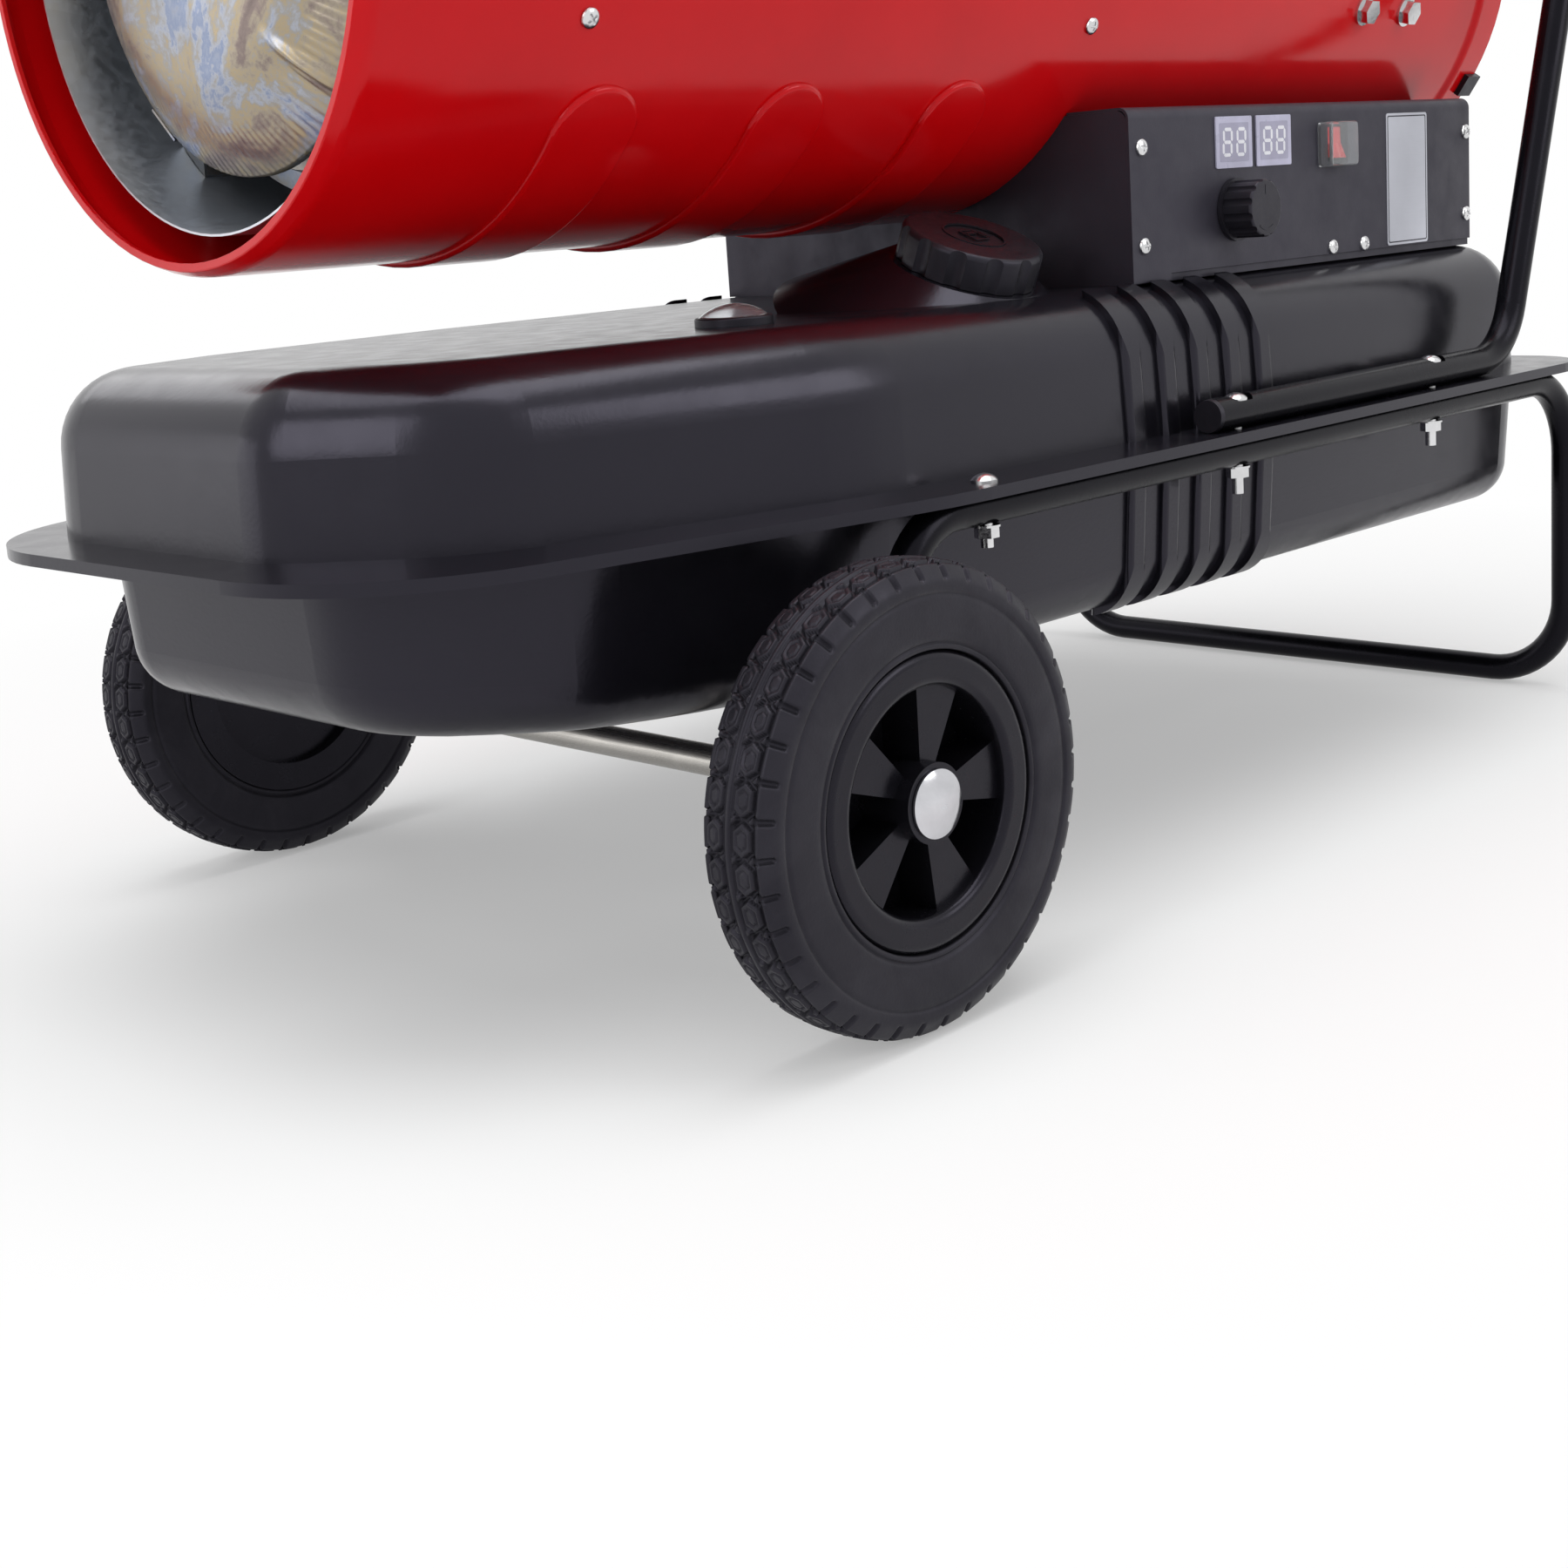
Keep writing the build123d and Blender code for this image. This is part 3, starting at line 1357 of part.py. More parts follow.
blade_thickness = 2.0
blade_root_chord = 34.0
blade_tip_chord = 56.0
blade_root_pitch = 50.0
blade_tip_pitch = 24.0
fan_middle = fan_x + fan_depth / 2

with BuildPart() as fan:
    for i in range(fan_blades):
        angle = i * 360 / fan_blades
        root_plane = on_barrel(fan_middle, angle, fan_hub_radius - 3)
        tip_plane = on_barrel(fan_middle, angle, fan_radius + 4)
        with BuildSketch(root_plane):
            Rectangle(blade_root_chord, blade_thickness, rotation=blade_root_pitch)
        with BuildSketch(tip_plane):
            Rectangle(blade_tip_chord, blade_thickness, rotation=90 - blade_tip_pitch)
        loft()
    with BuildSketch(across_barrel(fan_x)):
        Circle(fan_radius)
    extrude(amount=fan_depth, mode=Mode.INTERSECT)
    with BuildSketch(across_barrel(fan_x)):
        Circle(fan_hub_radius)
    extrude(amount=fan_depth)
    with BuildSketch(across_barrel(fan_x)):
        Circle(shaft_radius + run_gap / 2)
    extrude(amount=fan_depth, mode=Mode.SUBTRACT)
fan.part.label = "fan"
export_step(fan.part, "parts/fan.step")

pump_front = motor_rear + seat_gap
pump_wall = 6.0
shaft_pass = 0.3
with BuildPart() as pump_body:
    with BuildSketch(across_barrel(pump_front)):
        Circle(pump_radius)
    extrude(amount=pump_length - seat_gap)
    with BuildSketch(across_barrel(pump_front)):
        Circle(shaft_radius + shaft_pass)
    extrude(amount=pump_length, mode=Mode.SUBTRACT)
    with BuildSketch(across_barrel(pump_front + pump_wall)):
        with Locations((0, pump_eccentric)):
            Circle(pump_bore)
    extrude(amount=pump_length, mode=Mode.SUBTRACT)
    with BuildSketch(Plane.XY.offset(barrel_z - pump_radius - 1)):
        with Locations((air_port_x, 0)):
            Circle(air_hose_radius / 2)
    extrude(amount=pump_radius - pump_bore + 8, mode=Mode.SUBTRACT)
pump_body.part.label = "pump_body"
export_step(pump_body.part, "parts/pump_body.step")

with BuildPart() as pump_rotor:
    with BuildSketch(across_barrel(pump_front + pump_wall + side_gap)):
        Circle(pump_rotor_radius)
        with PolarLocations(pump_rotor_radius - 4, 4):
            Rectangle(9, 2, mode=Mode.SUBTRACT)
        Circle(shaft_radius + run_gap / 2, mode=Mode.SUBTRACT)
    extrude(amount=pump_length - seat_gap - pump_wall - 2 * side_gap)
pump_rotor.part.label = "pump_rotor"
export_step(pump_rotor.part, "parts/pump_rotor.step")

filter_seat = pump_rear + seat_gap
grille_rings = [14.0, 24.0, 34.0]
with BuildPart() as pump_filter_cover:
    with BuildSketch(across_barrel(filter_seat)):
        Circle(filter_radius)
    extrude(amount=filter_length)
    fillet(pump_filter_cover.faces().sort_by(Axis.X)[-1].edges(), 4)
    for radius in grille_rings:
        with BuildSketch(across_barrel(filter_rear + seat_gap)):
            Circle(radius + 2)
            Circle(radius - 2, mode=Mode.SUBTRACT)
        extrude(amount=-4, mode=Mode.SUBTRACT)
pump_filter_cover.part.label = "pump_filter_cover"
export_step(pump_filter_cover.part, "parts/pump_filter_cover.step")

guard_x = barrel_rear - guard_setback
guard_outer = band_radius - sheet - seat_gap - guard_wire
with BuildPart() as rear_guard:
    with BuildSketch(across_barrel(guard_x - guard_wire)):
        Circle(guard_outer + guard_wire)
        Circle(guard_outer - guard_wire, mode=Mode.SUBTRACT)
        Circle(guard_disc_radius)
    extrude(amount=2 * guard_wire)
    for i in range(guard_spokes):
        angle = (i + 0.5) * 360 / guard_spokes
        with BuildSketch(on_barrel(guard_x, angle, guard_disc_radius / 2)):
            Circle(guard_spoke_wire)
        extrude(amount=guard_outer - guard_disc_radius / 2)
    for radius in guard_rings:
        with BuildSketch(barrel_section):
            with Locations((guard_x, radius)):
                Circle(guard_wire)
        revolve(axis=barrel_axis)
rear_guard.part.label = "rear_guard"
export_step(rear_guard.part, "parts/rear_guard.step")

clip_half = 7.0
clip_leg = band_radius - sheet - 5 * seat_gap
clip_outside = band_radius + seat_gap
with BuildPart() as guard_clips:
    for angle in clip_angles:
        along = Plane(
            origin=(0, 0, barrel_z),
            x_dir=(1, 0, 0),
            z_dir=(0, -sin(radians(angle)), cos(radians(angle))),
        )
        with BuildSketch(along):
            Polygon(
                (barrel_rear - 13, clip_outside),
                (barrel_rear - 13, clip_outside + 3.5),
                (barrel_rear + 2.4, clip_outside + 3.5),
                (barrel_rear + 2.4, clip_leg - 4),
                (barrel_rear - 3, clip_leg - 4),
                (barrel_rear - 3, clip_leg),
                (barrel_rear + seat_gap, clip_leg),
                (barrel_rear + seat_gap, clip_outside),
                align=None,
            )
        extrude(amount=clip_half, both=True)
guard_clips.part.label = "guard_clips"
export_step(guard_clips.part, "parts/guard_clips.step")

# ---------------------------------------------------------------- hoses

air_hose_points = [
    Vector(air_port_x, 0, barrel_z - pump_radius - seat_gap),
    Vector(air_port_x, 0, air_hose_low_z),
    Vector(nozzle_port_x, 0, air_hose_low_z),
    Vector(nozzle_port_x, 0, barrel_z - nozzle_radius - seat_gap),
]
with BuildPart() as air_hose:
    add(tube(air_hose_points, [air_hose_bend, air_hose_bend], air_hose_radius, air_hose_radius / 2))
air_hose.part.label = "air_hose"
export_step(air_hose.part, "parts/air_hose.step")

fuel_hose_points = [
    Vector(fuel_pickup_x, fuel_pickup_y, fuel_pickup_z),
    Vector(fuel_pickup_x, fuel_pickup_y, barrel_z - 30),
    Vector(fuel_pickup_x - 12, 0, barrel_z),
    Vector(nozzle_rear + seat_gap, 0, barrel_z),
]
with BuildPart() as fuel_hose:
    add(tube(fuel_hose_points, [34, 24], fuel_hose_radius, fuel_hose_radius / 2))
    with BuildSketch(Plane.XY.offset(tank_top_z + seat_gap)):
        with Locations((fuel_pickup_x, fuel_pickup_y)):
            Circle(2.4 * fuel_hose_radius)
            Circle(fuel_hose_radius - 0.5, mode=Mode.SUBTRACT)
    extrude(amount=4)
fuel_hose.part.label = "fuel_hose"
export_step(fuel_hose.part, "parts/fuel_hose.step")

# ---------------------------------------------------------------- pedestal

pedestal_floor = tank_top_z + seat_gap
pedestal_back_y = -pedestal_half_width + panel_sheet + seat_gap
pedestal_low_top = pedestal_top_z - panel_sheet - seat_gap
strip_edge = sqrt(barrel_radius**2 - (barrel_z - pedestal_top_z) ** 2) + side_gap
saddle_radius = barrel_radius + seat_gap
saddle_depth = 14.0
hidden_bend = panel_bend - sheet
panel_face = Plane(origin=(0, -pedestal_half_width, 0), x_dir=(1, 0, 0), z_dir=(0, -1, 0))
panel_screw_places = [
    (pedestal_x + front_screw_inset, pedestal_top_z - panel_screw_top),
    (pedestal_x + front_screw_inset, pedestal_top_z - panel_screw_bottom),
    (pedestal_rear - rear_screw_inset, pedestal_top_z - panel_screw_top),
    (pedestal_rear - rear_screw_inset, pedestal_top_z - panel_screw_bottom),
    (lower_screw_xs[0], lower_screw_z),
    (lower_screw_xs[1], lower_screw_z),
]


def square_to_x(x):
    """Plane square to X; its first direction is +Y and its second is +Z."""
    return Plane(origin=(x, 0, 0), x_dir=(0, 1, 0), z_dir=(1, 0, 0))


with BuildPart() as pedestal_shell:
    with BuildSketch(square_to_x(pedestal_x)):
        with BuildLine():
            FilletPolyline(
                (pedestal_back_y, pedestal_floor),
                (pedestal_back_y, pedestal_low_top),
                (0, pedestal_low_top),
                (0, pedestal_top_z),
                (pedestal_half_width, pedestal_top_z),
                (pedestal_half_width, pedestal_floor),
                radius=[0.3, panel_bend, 0.3, 0.3, panel_bend, 0.3],
                close=True,
            )
        make_face()
    extrude(amount=pedestal_length)
    with BuildSketch(square_to_x(pedestal_x + sheet)):
        with BuildLine():
            FilletPolyline(
                (-2 * pedestal_half_width, pedestal_floor + sheet),
                (-2 * pedestal_half_width, barrel_z),
                (strip_edge, barrel_z),
                (strip_edge, pedestal_top_z - sheet),
                (pedestal_half_width - sheet, pedestal_top_z - sheet),
                (pedestal_half_width - sheet, pedestal_floor + sheet),
                radius=[0.3, 0.3, 0.3, 0.3, hidden_bend, 0.3],
                close=True,
            )
        make_face()
    extrude(amount=pedestal_length - 2 * sheet, mode=Mode.SUBTRACT)
    with BuildSketch(Plane.XY.offset(pedestal_floor)):
        with Locations((pedestal_middle, 0)):
            Rectangle(
                pedestal_length - 2 * foot_strip,
                2 * pedestal_half_width - 2 * foot_strip,
            )
    extrude(amount=sheet, mode=Mode.SUBTRACT)
    with BuildSketch(across_barrel(pedestal_x)):
        Circle(saddle_radius)
    extrude(amount=pedestal_length, mode=Mode.SUBTRACT)
    for start in (pedestal_x, pedestal_rear - saddle_depth):
        with BuildSketch(across_barrel(start)):
            Circle(saddle_radius + sheet)
            Circle(saddle_radius, mode=Mode.SUBTRACT)
            with Locations((0, pedestal_low_top - barrel_z - sheet - barrel_radius)):
                Rectangle(2 * barrel_radius, 2 * barrel_radius, mode=Mode.INTERSECT)
        extrude(amount=saddle_depth)
    with BuildSketch(Plane.XY.offset(barrel_z - barrel_radius - 5)):
        with Locations((air_port_x, 0)):
            Circle(air_hose_radius + hole_gap)
    extrude(amount=barrel_radius / 4, mode=Mode.SUBTRACT)
    with BuildSketch(Plane.XZ.offset(-pedestal_back_y)):
        strip_middle = (pedestal_floor + pedestal_low_top - panel_bend) / 2
        strip_height = pedestal_low_top - panel_bend - pedestal_floor
        with Locations(
            (pedestal_x + flange_strip / 2, strip_middle),
            (pedestal_rear - flange_strip / 2, strip_middle),
        ):
            Rectangle(flange_strip, strip_height)
        with Locations((pedestal_middle, pedestal_floor + flange_strip / 2)):
            Rectangle(pedestal_length, flange_strip)
    extrude(amount=-sheet)
    with BuildSketch(panel_face):
        with Locations(*panel_screw_places):
            Circle(screw_radius + seat_gap)
    extrude(amount=-4 * sheet, mode=Mode.SUBTRACT)
    with BuildSketch(Plane.XY.offset(pedestal_floor)):
        with Locations(*pedestal_foot_places):
            Circle(screw_radius + hole_gap)
    extrude(amount=sheet, mode=Mode.SUBTRACT)
    with BuildSketch(square_to_x(pedestal_rear)):
        with Locations((gland_y, gland_z)):
            Circle(gland_radius - 4 + hole_gap)
    extrude(amount=-2 * sheet, mode=Mode.SUBTRACT)
pedestal_shell.part.label = "pedestal_shell"
export_step(pedestal_shell.part, "parts/pedestal_shell.step")

with BuildPart() as pedestal_screws:
    for x, y in pedestal_foot_places:
        seat = Plane(origin=(x, y, pedestal_floor + sheet + seat_gap))
        add(domed_head(seat, screw_head_radius, screw_head_height))
        with BuildSketch(seat):
            Circle(screw_radius)
        extrude(amount=-8)
pedestal_screws.part.label = "pedestal_screws"
export_step(pedestal_screws.part, "parts/pedestal_screws.step")

display_body = (display_width - 2.6, display_height - 2.6)
display_places = [(x, display_z) for x in display_xs]
switch_body_width = switch_width - 4.6
switch_body_height = switch_height - 1.0
spindle_hole = spindle_radius + 2 * hole_gap

with BuildPart() as control_panel:
    with BuildSketch(square_to_x(pedestal_x)):
        with BuildLine():
            FilletPolyline(
                (-pedestal_half_width, panel_bottom_z),
                (-pedestal_half_width, pedestal_top_z),
                (-strip_edge, pedestal_top_z),
                (-strip_edge, pedestal_top_z - panel_sheet),
                (-pedestal_half_width + panel_sheet, pedestal_top_z - panel_sheet),
                (-pedestal_half_width + panel_sheet, panel_bottom_z),
                radius=[0.3, panel_bend, 0.3, 0.3, panel_bend - panel_sheet, 0.3],
                close=True,
            )
        make_face()
    extrude(amount=pedestal_length)
    with BuildSketch(panel_face):
        with Locations((pedestal_x + panel_tab_length / 2, (panel_tab_z + panel_bottom_z + 2) / 2)):
            Rectangle(panel_tab_length, panel_bottom_z + 2 - panel_tab_z)
    extrude(amount=-panel_sheet)
    with BuildSketch(panel_face):
        with Locations(*display_places):
            Rectangle(display_body[0] + 2 * hole_gap, display_body[1] + 2 * hole_gap)
        with Locations((switch_x, switch_z)):
            Rectangle(switch_body_width + 2 * hole_gap, switch_body_height + 2 * hole_gap)
        with Locations((knob_x, knob_z)):
            Circle(spindle_hole)
        with Locations(*panel_screw_places):
            Circle(screw_radius + hole_gap)
    extrude(amount=-panel_sheet, mode=Mode.SUBTRACT)
control_panel.part.label = "control_panel"
export_step(control_panel.part, "parts/control_panel.step")

panel_front = panel_face.offset(seat_gap)
with BuildPart() as panel_screws:
    for x, z in panel_screw_places:
        seat = Plane(
            origin=(x, -pedestal_half_width - seat_gap, z), x_dir=(1, 0, 0), z_dir=(0, -1, 0)
        )
        add(domed_head(seat, screw_head_radius, screw_head_height))
        with BuildSketch(seat):
            Circle(screw_radius)
        extrude(amount=-9)
panel_screws.part.label = "panel_screws"
export_step(panel_screws.part, "parts/panel_screws.step")

# ---------------------------------------------------------------- controls

with BuildPart() as display_modules:
    with BuildSketch(panel_front):
        with Locations(*display_places):
            RectangleRounded(display_width, display_height, 1)
    extrude(amount=display_proud)
    with BuildSketch(panel_front):
        with Locations(*display_places):
            Rectangle(*display_body)
    extrude(amount=-display_depth)
display_modules.part.label = "display_modules"
export_step(display_modules.part, "parts/display_modules.step")

with BuildPart() as rating_plate:
    with BuildSketch(panel_front):
        with Locations((plate_x, plate_z)):
            RectangleRounded(plate_width, plate_height, 2)
    extrude(amount=plate_thickness)
rating_plate.part.label = "rating_plate"
export_step(rating_plate.part, "parts/rating_plate.step")

knob_base = panel_face.offset(side_gap)
knob_skirt = 2.5
thermostat_size = 28.0
thermostat_depth = 18.0
spindle_length = 15.0

with BuildPart() as thermostat_knob:
    with BuildSketch(knob_base):
        with Locations((knob_x, knob_z)):
            Circle(knob_radius)
    extrude(amount=knob_height)
    fillet(thermostat_knob.faces().sort_by(Axis.Y)[0].edges(), 1.5)
    with BuildSketch(knob_base.offset(knob_skirt)):
        with Locations((knob_x, knob_z)):
            with PolarLocations(knob_radius + 1.4, knob_flutes, start_angle=180 / knob_flutes):
                Circle(2.6)
    extrude(amount=knob_height, mode=Mode.SUBTRACT)
    with BuildSketch(knob_base):
        with Locations((knob_x, knob_z)):
            Circle(knob_skirt_radius)
    extrude(amount=knob_skirt)
    with BuildSketch(knob_base):
        with Locations((knob_x, knob_z)):
            Circle(spindle_radius)
    extrude(amount=-spindle_length)
thermostat_knob.part.label = "thermostat_knob"
export_step(thermostat_knob.part, "parts/thermostat_knob.step")

panel_back = panel_face.offset(-panel_sheet - seat_gap)
with BuildPart() as thermostat_body:
    with BuildSketch(panel_back):
        with Locations((knob_x, knob_z)):
            RectangleRounded(thermostat_size, thermostat_size, 3)
            Circle(spindle_radius + run_gap, mode=Mode.SUBTRACT)
    extrude(amount=-thermostat_depth)
thermostat_body.part.label = "thermostat_body"
export_step(thermostat_body.part, "parts/thermostat_body.step")

pivot_y = -pedestal_half_width + panel_sheet
pivot_half = rocker_width / 2 + 2.5
rocker_front = 4.6
rocker_valley = 3.0
rocker_back = 3.0
cavity_width = rocker_width + 2 * side_gap
cavity_height = rocker_height + 2.4
cavity_depth = 9.0

with BuildPart() as switch_housing:
    with BuildSketch(panel_front):
        with Locations((switch_x, switch_z)):
            RectangleRounded(switch_width, switch_height, 2)
    extrude(amount=switch_bezel)
    with BuildSketch(panel_front):
        with Locations((switch_x, switch_z)):
            Rectangle(switch_body_width, switch_body_height)
    extrude(amount=-switch_depth)
    with BuildSketch(panel_front.offset(switch_bezel)):
        with Locations((switch_x, switch_z)):
            Rectangle(cavity_width, cavity_height)
    extrude(amount=-switch_bezel - cavity_depth, mode=Mode.SUBTRACT)
    with BuildSketch(square_to_x(switch_x)):
        with Locations((pivot_y, switch_z)):
            Circle(rocker_pin_radius + run_gap)
    extrude(amount=pivot_half + side_gap, both=True, mode=Mode.SUBTRACT)
switch_housing.part.label = "switch_housing"
export_step(switch_housing.part, "parts/switch_housing.step")

rocker_plane = Plane(
    origin=(switch_x, pivot_y, switch_z),
    x_dir=(0, -cos(radians(rocker_tilt)), sin(radians(rocker_tilt))),
    z_dir=(1, 0, 0),
)
with BuildPart() as switch_rocker:
    with BuildSketch(rocker_plane):
        Polygon(
            (rocker_front, -rocker_height / 2),
            (rocker_valley, 0),
            (rocker_front, rocker_height / 2),
            (-rocker_back, rocker_height / 3),
            (-rocker_back, -rocker_height / 3),
            align=None,
        )
    extrude(amount=rocker_width / 2, both=True)
    with BuildSketch(rocker_plane):
        Circle(rocker_pin_radius)
    extrude(amount=pivot_half, both=True)
switch_rocker.part.label = "switch_rocker"
export_step(switch_rocker.part, "parts/switch_rocker.step")

cover_inner_width = switch_width + 2 * cover_gap
cover_inner_height = switch_height + 2 * cover_gap
with BuildPart() as switch_cover:
    with BuildSketch(panel_front):
        with Locations((switch_x, switch_z)):
            RectangleRounded(
                cover_inner_width + 2 * cover_wall, cover_inner_height + 2 * cover_wall, 3
            )
    extrude(amount=cover_depth)
    fillet(switch_cover.faces().sort_by(Axis.Y)[0].edges(), 2)
    with BuildSketch(panel_front):
        with Locations((switch_x, switch_z)):
            RectangleRounded(cover_inner_width, cover_inner_height, 2.2)
    extrude(amount=cover_depth - cover_wall, mode=Mode.SUBTRACT)
switch_cover.part.label = "switch_cover"
export_step(switch_cover.part, "parts/switch_cover.step")

board_back = panel_back.offset(-board_gap)
board_width = 176.0
board_height = 64.0
board_x = axle_x + 444.0
board_z = 339.0
board_thickness = 1.6
post_places = [
    (board_x + i * (board_width / 2 - 5), board_z + j * (board_height / 2 - 5))
    for i in (-1, 1)
    for j in (-1, 1)
]
board_blocks = [(-50, 8, 22, 18, 16), (-12, -10, 28, 12, 12), (34, 6, 18, 24, 20), (64, -12, 12, 12, 10)]
with BuildPart() as control_board:
    with BuildSketch(board_back):
        with Locations((board_x, board_z)):
            Rectangle(board_width, board_height)
    extrude(amount=-board_thickness)
    with BuildSketch(board_back):
        with Locations(*post_places):
            Circle(3)
    extrude(amount=board_gap)
    for across, up, width, height, depth in board_blocks:
        with BuildSketch(board_back.offset(-board_thickness)):
            with Locations((board_x + across, board_z + up)):
                Rectangle(width, height)
        extrude(amount=-depth)
control_board.part.label = "control_board"
export_step(control_board.part, "parts/control_board.step")

transformer_x = axle_x + 560.0
transformer_z = 320.0
transformer_size = (80.0, 46.0)
transformer_depth = 48.0
with BuildPart() as ignition_transformer:
    with BuildSketch(Plane.XZ.offset(-(pedestal_half_width - sheet - seat_gap))):
        with Locations((transformer_x, transformer_z)):
            RectangleRounded(*transformer_size, 4)
    extrude(amount=transformer_depth)
    fillet(ignition_transformer.faces().sort_by(Axis.Y)[0].edges(), 3)
ignition_transformer.part.label = "ignition_transformer"
export_step(ignition_transformer.part, "parts/ignition_transformer.step")

gland_tube = gland_radius - 4
gland_nut = 5.0
gland_dome = 12.0
with BuildPart() as cable_gland:
    with BuildSketch(square_to_x(pedestal_rear + seat_gap)):
        with Locations((gland_y, gland_z)):
            RegularPolygon(gland_radius, 6)
    extrude(amount=gland_nut + 1)
    with BuildSketch(square_to_x(pedestal_rear + seat_gap + gland_nut + 1)):
        with Locations((gland_y, gland_z)):
            Circle(gland_radius - 2)
    extrude(amount=gland_dome, taper=8)
    with BuildSketch(square_to_x(pedestal_rear + seat_gap)):
        with Locations((gland_y, gland_z)):
            Circle(gland_tube)
    extrude(amount=-sheet - 2 * seat_gap - gland_nut - 2)
    with BuildSketch(square_to_x(pedestal_rear - sheet - seat_gap)):
        with Locations((gland_y, gland_z)):
            RegularPolygon(gland_radius, 6)
    extrude(amount=-gland_nut)
    with BuildSketch(square_to_x(pedestal_rear + 30)):
        with Locations((gland_y, gland_z)):
            Circle(gland_bore)
    extrude(amount=-60, mode=Mode.SUBTRACT)
cable_gland.part.label = "cable_gland"
export_step(cable_gland.part, "parts/cable_gland.step")
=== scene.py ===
import math

import bmesh
import bpy
import numpy as np
from mathutils import Matrix, Vector


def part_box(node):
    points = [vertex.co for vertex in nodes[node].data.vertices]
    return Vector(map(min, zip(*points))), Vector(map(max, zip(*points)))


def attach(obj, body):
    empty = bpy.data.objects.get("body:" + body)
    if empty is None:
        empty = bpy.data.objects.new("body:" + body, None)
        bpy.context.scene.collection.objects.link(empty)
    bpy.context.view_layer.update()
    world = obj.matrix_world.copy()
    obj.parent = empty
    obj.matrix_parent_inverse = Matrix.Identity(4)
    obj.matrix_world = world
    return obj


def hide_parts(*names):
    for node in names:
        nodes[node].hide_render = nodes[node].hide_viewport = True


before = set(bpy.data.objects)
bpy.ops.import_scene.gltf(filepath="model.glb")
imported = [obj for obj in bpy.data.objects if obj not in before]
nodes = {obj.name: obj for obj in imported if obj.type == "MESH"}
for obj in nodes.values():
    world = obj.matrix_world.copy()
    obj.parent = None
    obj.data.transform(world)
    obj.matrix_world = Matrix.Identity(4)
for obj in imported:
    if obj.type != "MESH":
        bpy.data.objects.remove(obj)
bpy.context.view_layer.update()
scene = bpy.context.scene

# Forced air heater, in metres: X runs to the rear (fan and handle), -X to the hot-air outlet,
# -Y to the control panel and Z up. The CAD solids come from model.glb. This script gives them
# their materials and draws the pieces that carry finer detail than the CAD does.

# ---------------------------------------------------------------- places in the part's frame

AXLE_X = -0.273
AXLE_Z = 0.1
WHEEL_Y = 0.2394
BARREL_Z = 0.4782
BARREL_R = 0.149
DISC_APEX_X = -0.427
PANEL_Y = -0.152
LINER_FRONT = -0.4175
BOLT_THREAD_Z = 0.166
DISPLAY_XS = (0.1194, 0.159)
DISPLAY_Z = 0.3605
KNOB_X, KNOB_Z = 0.119, 0.3243
PLATE_X, PLATE_Z = 0.3065, 0.3339
CAP_TOP = Vector((-0.059, -0.115, 0.322))
CAP_TILT = math.radians(22.5)

# ---------------------------------------------------------------- camera

PHOTO = 1800  # width and height of the photograph, pixels
FOCAL = 2465.8  # focal length, pixels
PRINCIPAL = (880.4, 705.6)  # the pixel that the camera's axis meets
CAMERA_AT = (-0.9061, -0.8204, 0.3417)
YAW, PITCH, ROLL = 0.770, 0.186, -0.069
SENSOR = 36

forward = Vector((
    math.sin(YAW) * math.cos(PITCH),
    math.cos(YAW) * math.cos(PITCH),
    -math.sin(PITCH),
))
level_right = Vector((math.cos(YAW), -math.sin(YAW), 0))
level_up = level_right.cross(forward)
right = math.cos(ROLL) * level_right + math.sin(ROLL) * level_up
up = -math.sin(ROLL) * level_right + math.cos(ROLL) * level_up

camera = bpy.data.objects.new("camera", bpy.data.cameras.new("camera"))
scene.collection.objects.link(camera)
turned = Matrix((right, up, -forward)).transposed().to_4x4()
camera.matrix_world = Matrix.Translation(CAMERA_AT) @ turned
camera.data.sensor_width = SENSOR
camera.data.lens = FOCAL * SENSOR / PHOTO
camera.data.shift_x = (PHOTO / 2 - PRINCIPAL[0]) / PHOTO
camera.data.shift_y = (PRINCIPAL[1] - PHOTO / 2) / PHOTO
camera.data.clip_start = 0.01
camera.data.clip_end = 100
scene.camera = camera
scene.view_settings.view_transform = "Standard"

# ---------------------------------------------------------------- node helpers


class Tree:
    """A node tree with short ways to add the nodes that this script needs."""

    def __init__(self, tree):
        self.tree = tree
        self.nodes = tree.nodes

    def new(self, kind):
        return self.nodes.new(kind)

    def link(self, a, b):
        self.tree.links.new(a, b)

    def calc(self, operation, a, b):
        """A math node on two sockets or numbers."""
        node = self.new("ShaderNodeMath")
        node.operation = operation
        for i, value in enumerate((a, b)):
            if isinstance(value, (int, float)):
                node.inputs[i].default_value = value
            else:
                self.link(value, node.inputs[i])
        return node.outputs[0]

    def remap(self, value, span, to):
        """Map the span of values linearly onto another, and clamp."""
        node = self.new("ShaderNodeMapRange")
        node.inputs["From Min"].default_value, node.inputs["From Max"].default_value = span
        node.inputs["To Min"].default_value, node.inputs["To Max"].default_value = to
        self.link(value, node.inputs["Value"])
        return node.outputs["Result"]

    def seen_directly(self):
        """1 on rays that show a background: from the camera, mirrored or through plastic."""
        path = self.new("ShaderNodeLightPath")
        seen = self.calc("MAXIMUM", path.outputs["Is Camera Ray"], path.outputs["Is Glossy Ray"])
        return self.calc("MAXIMUM", seen, path.outputs["Is Transmission Ray"])


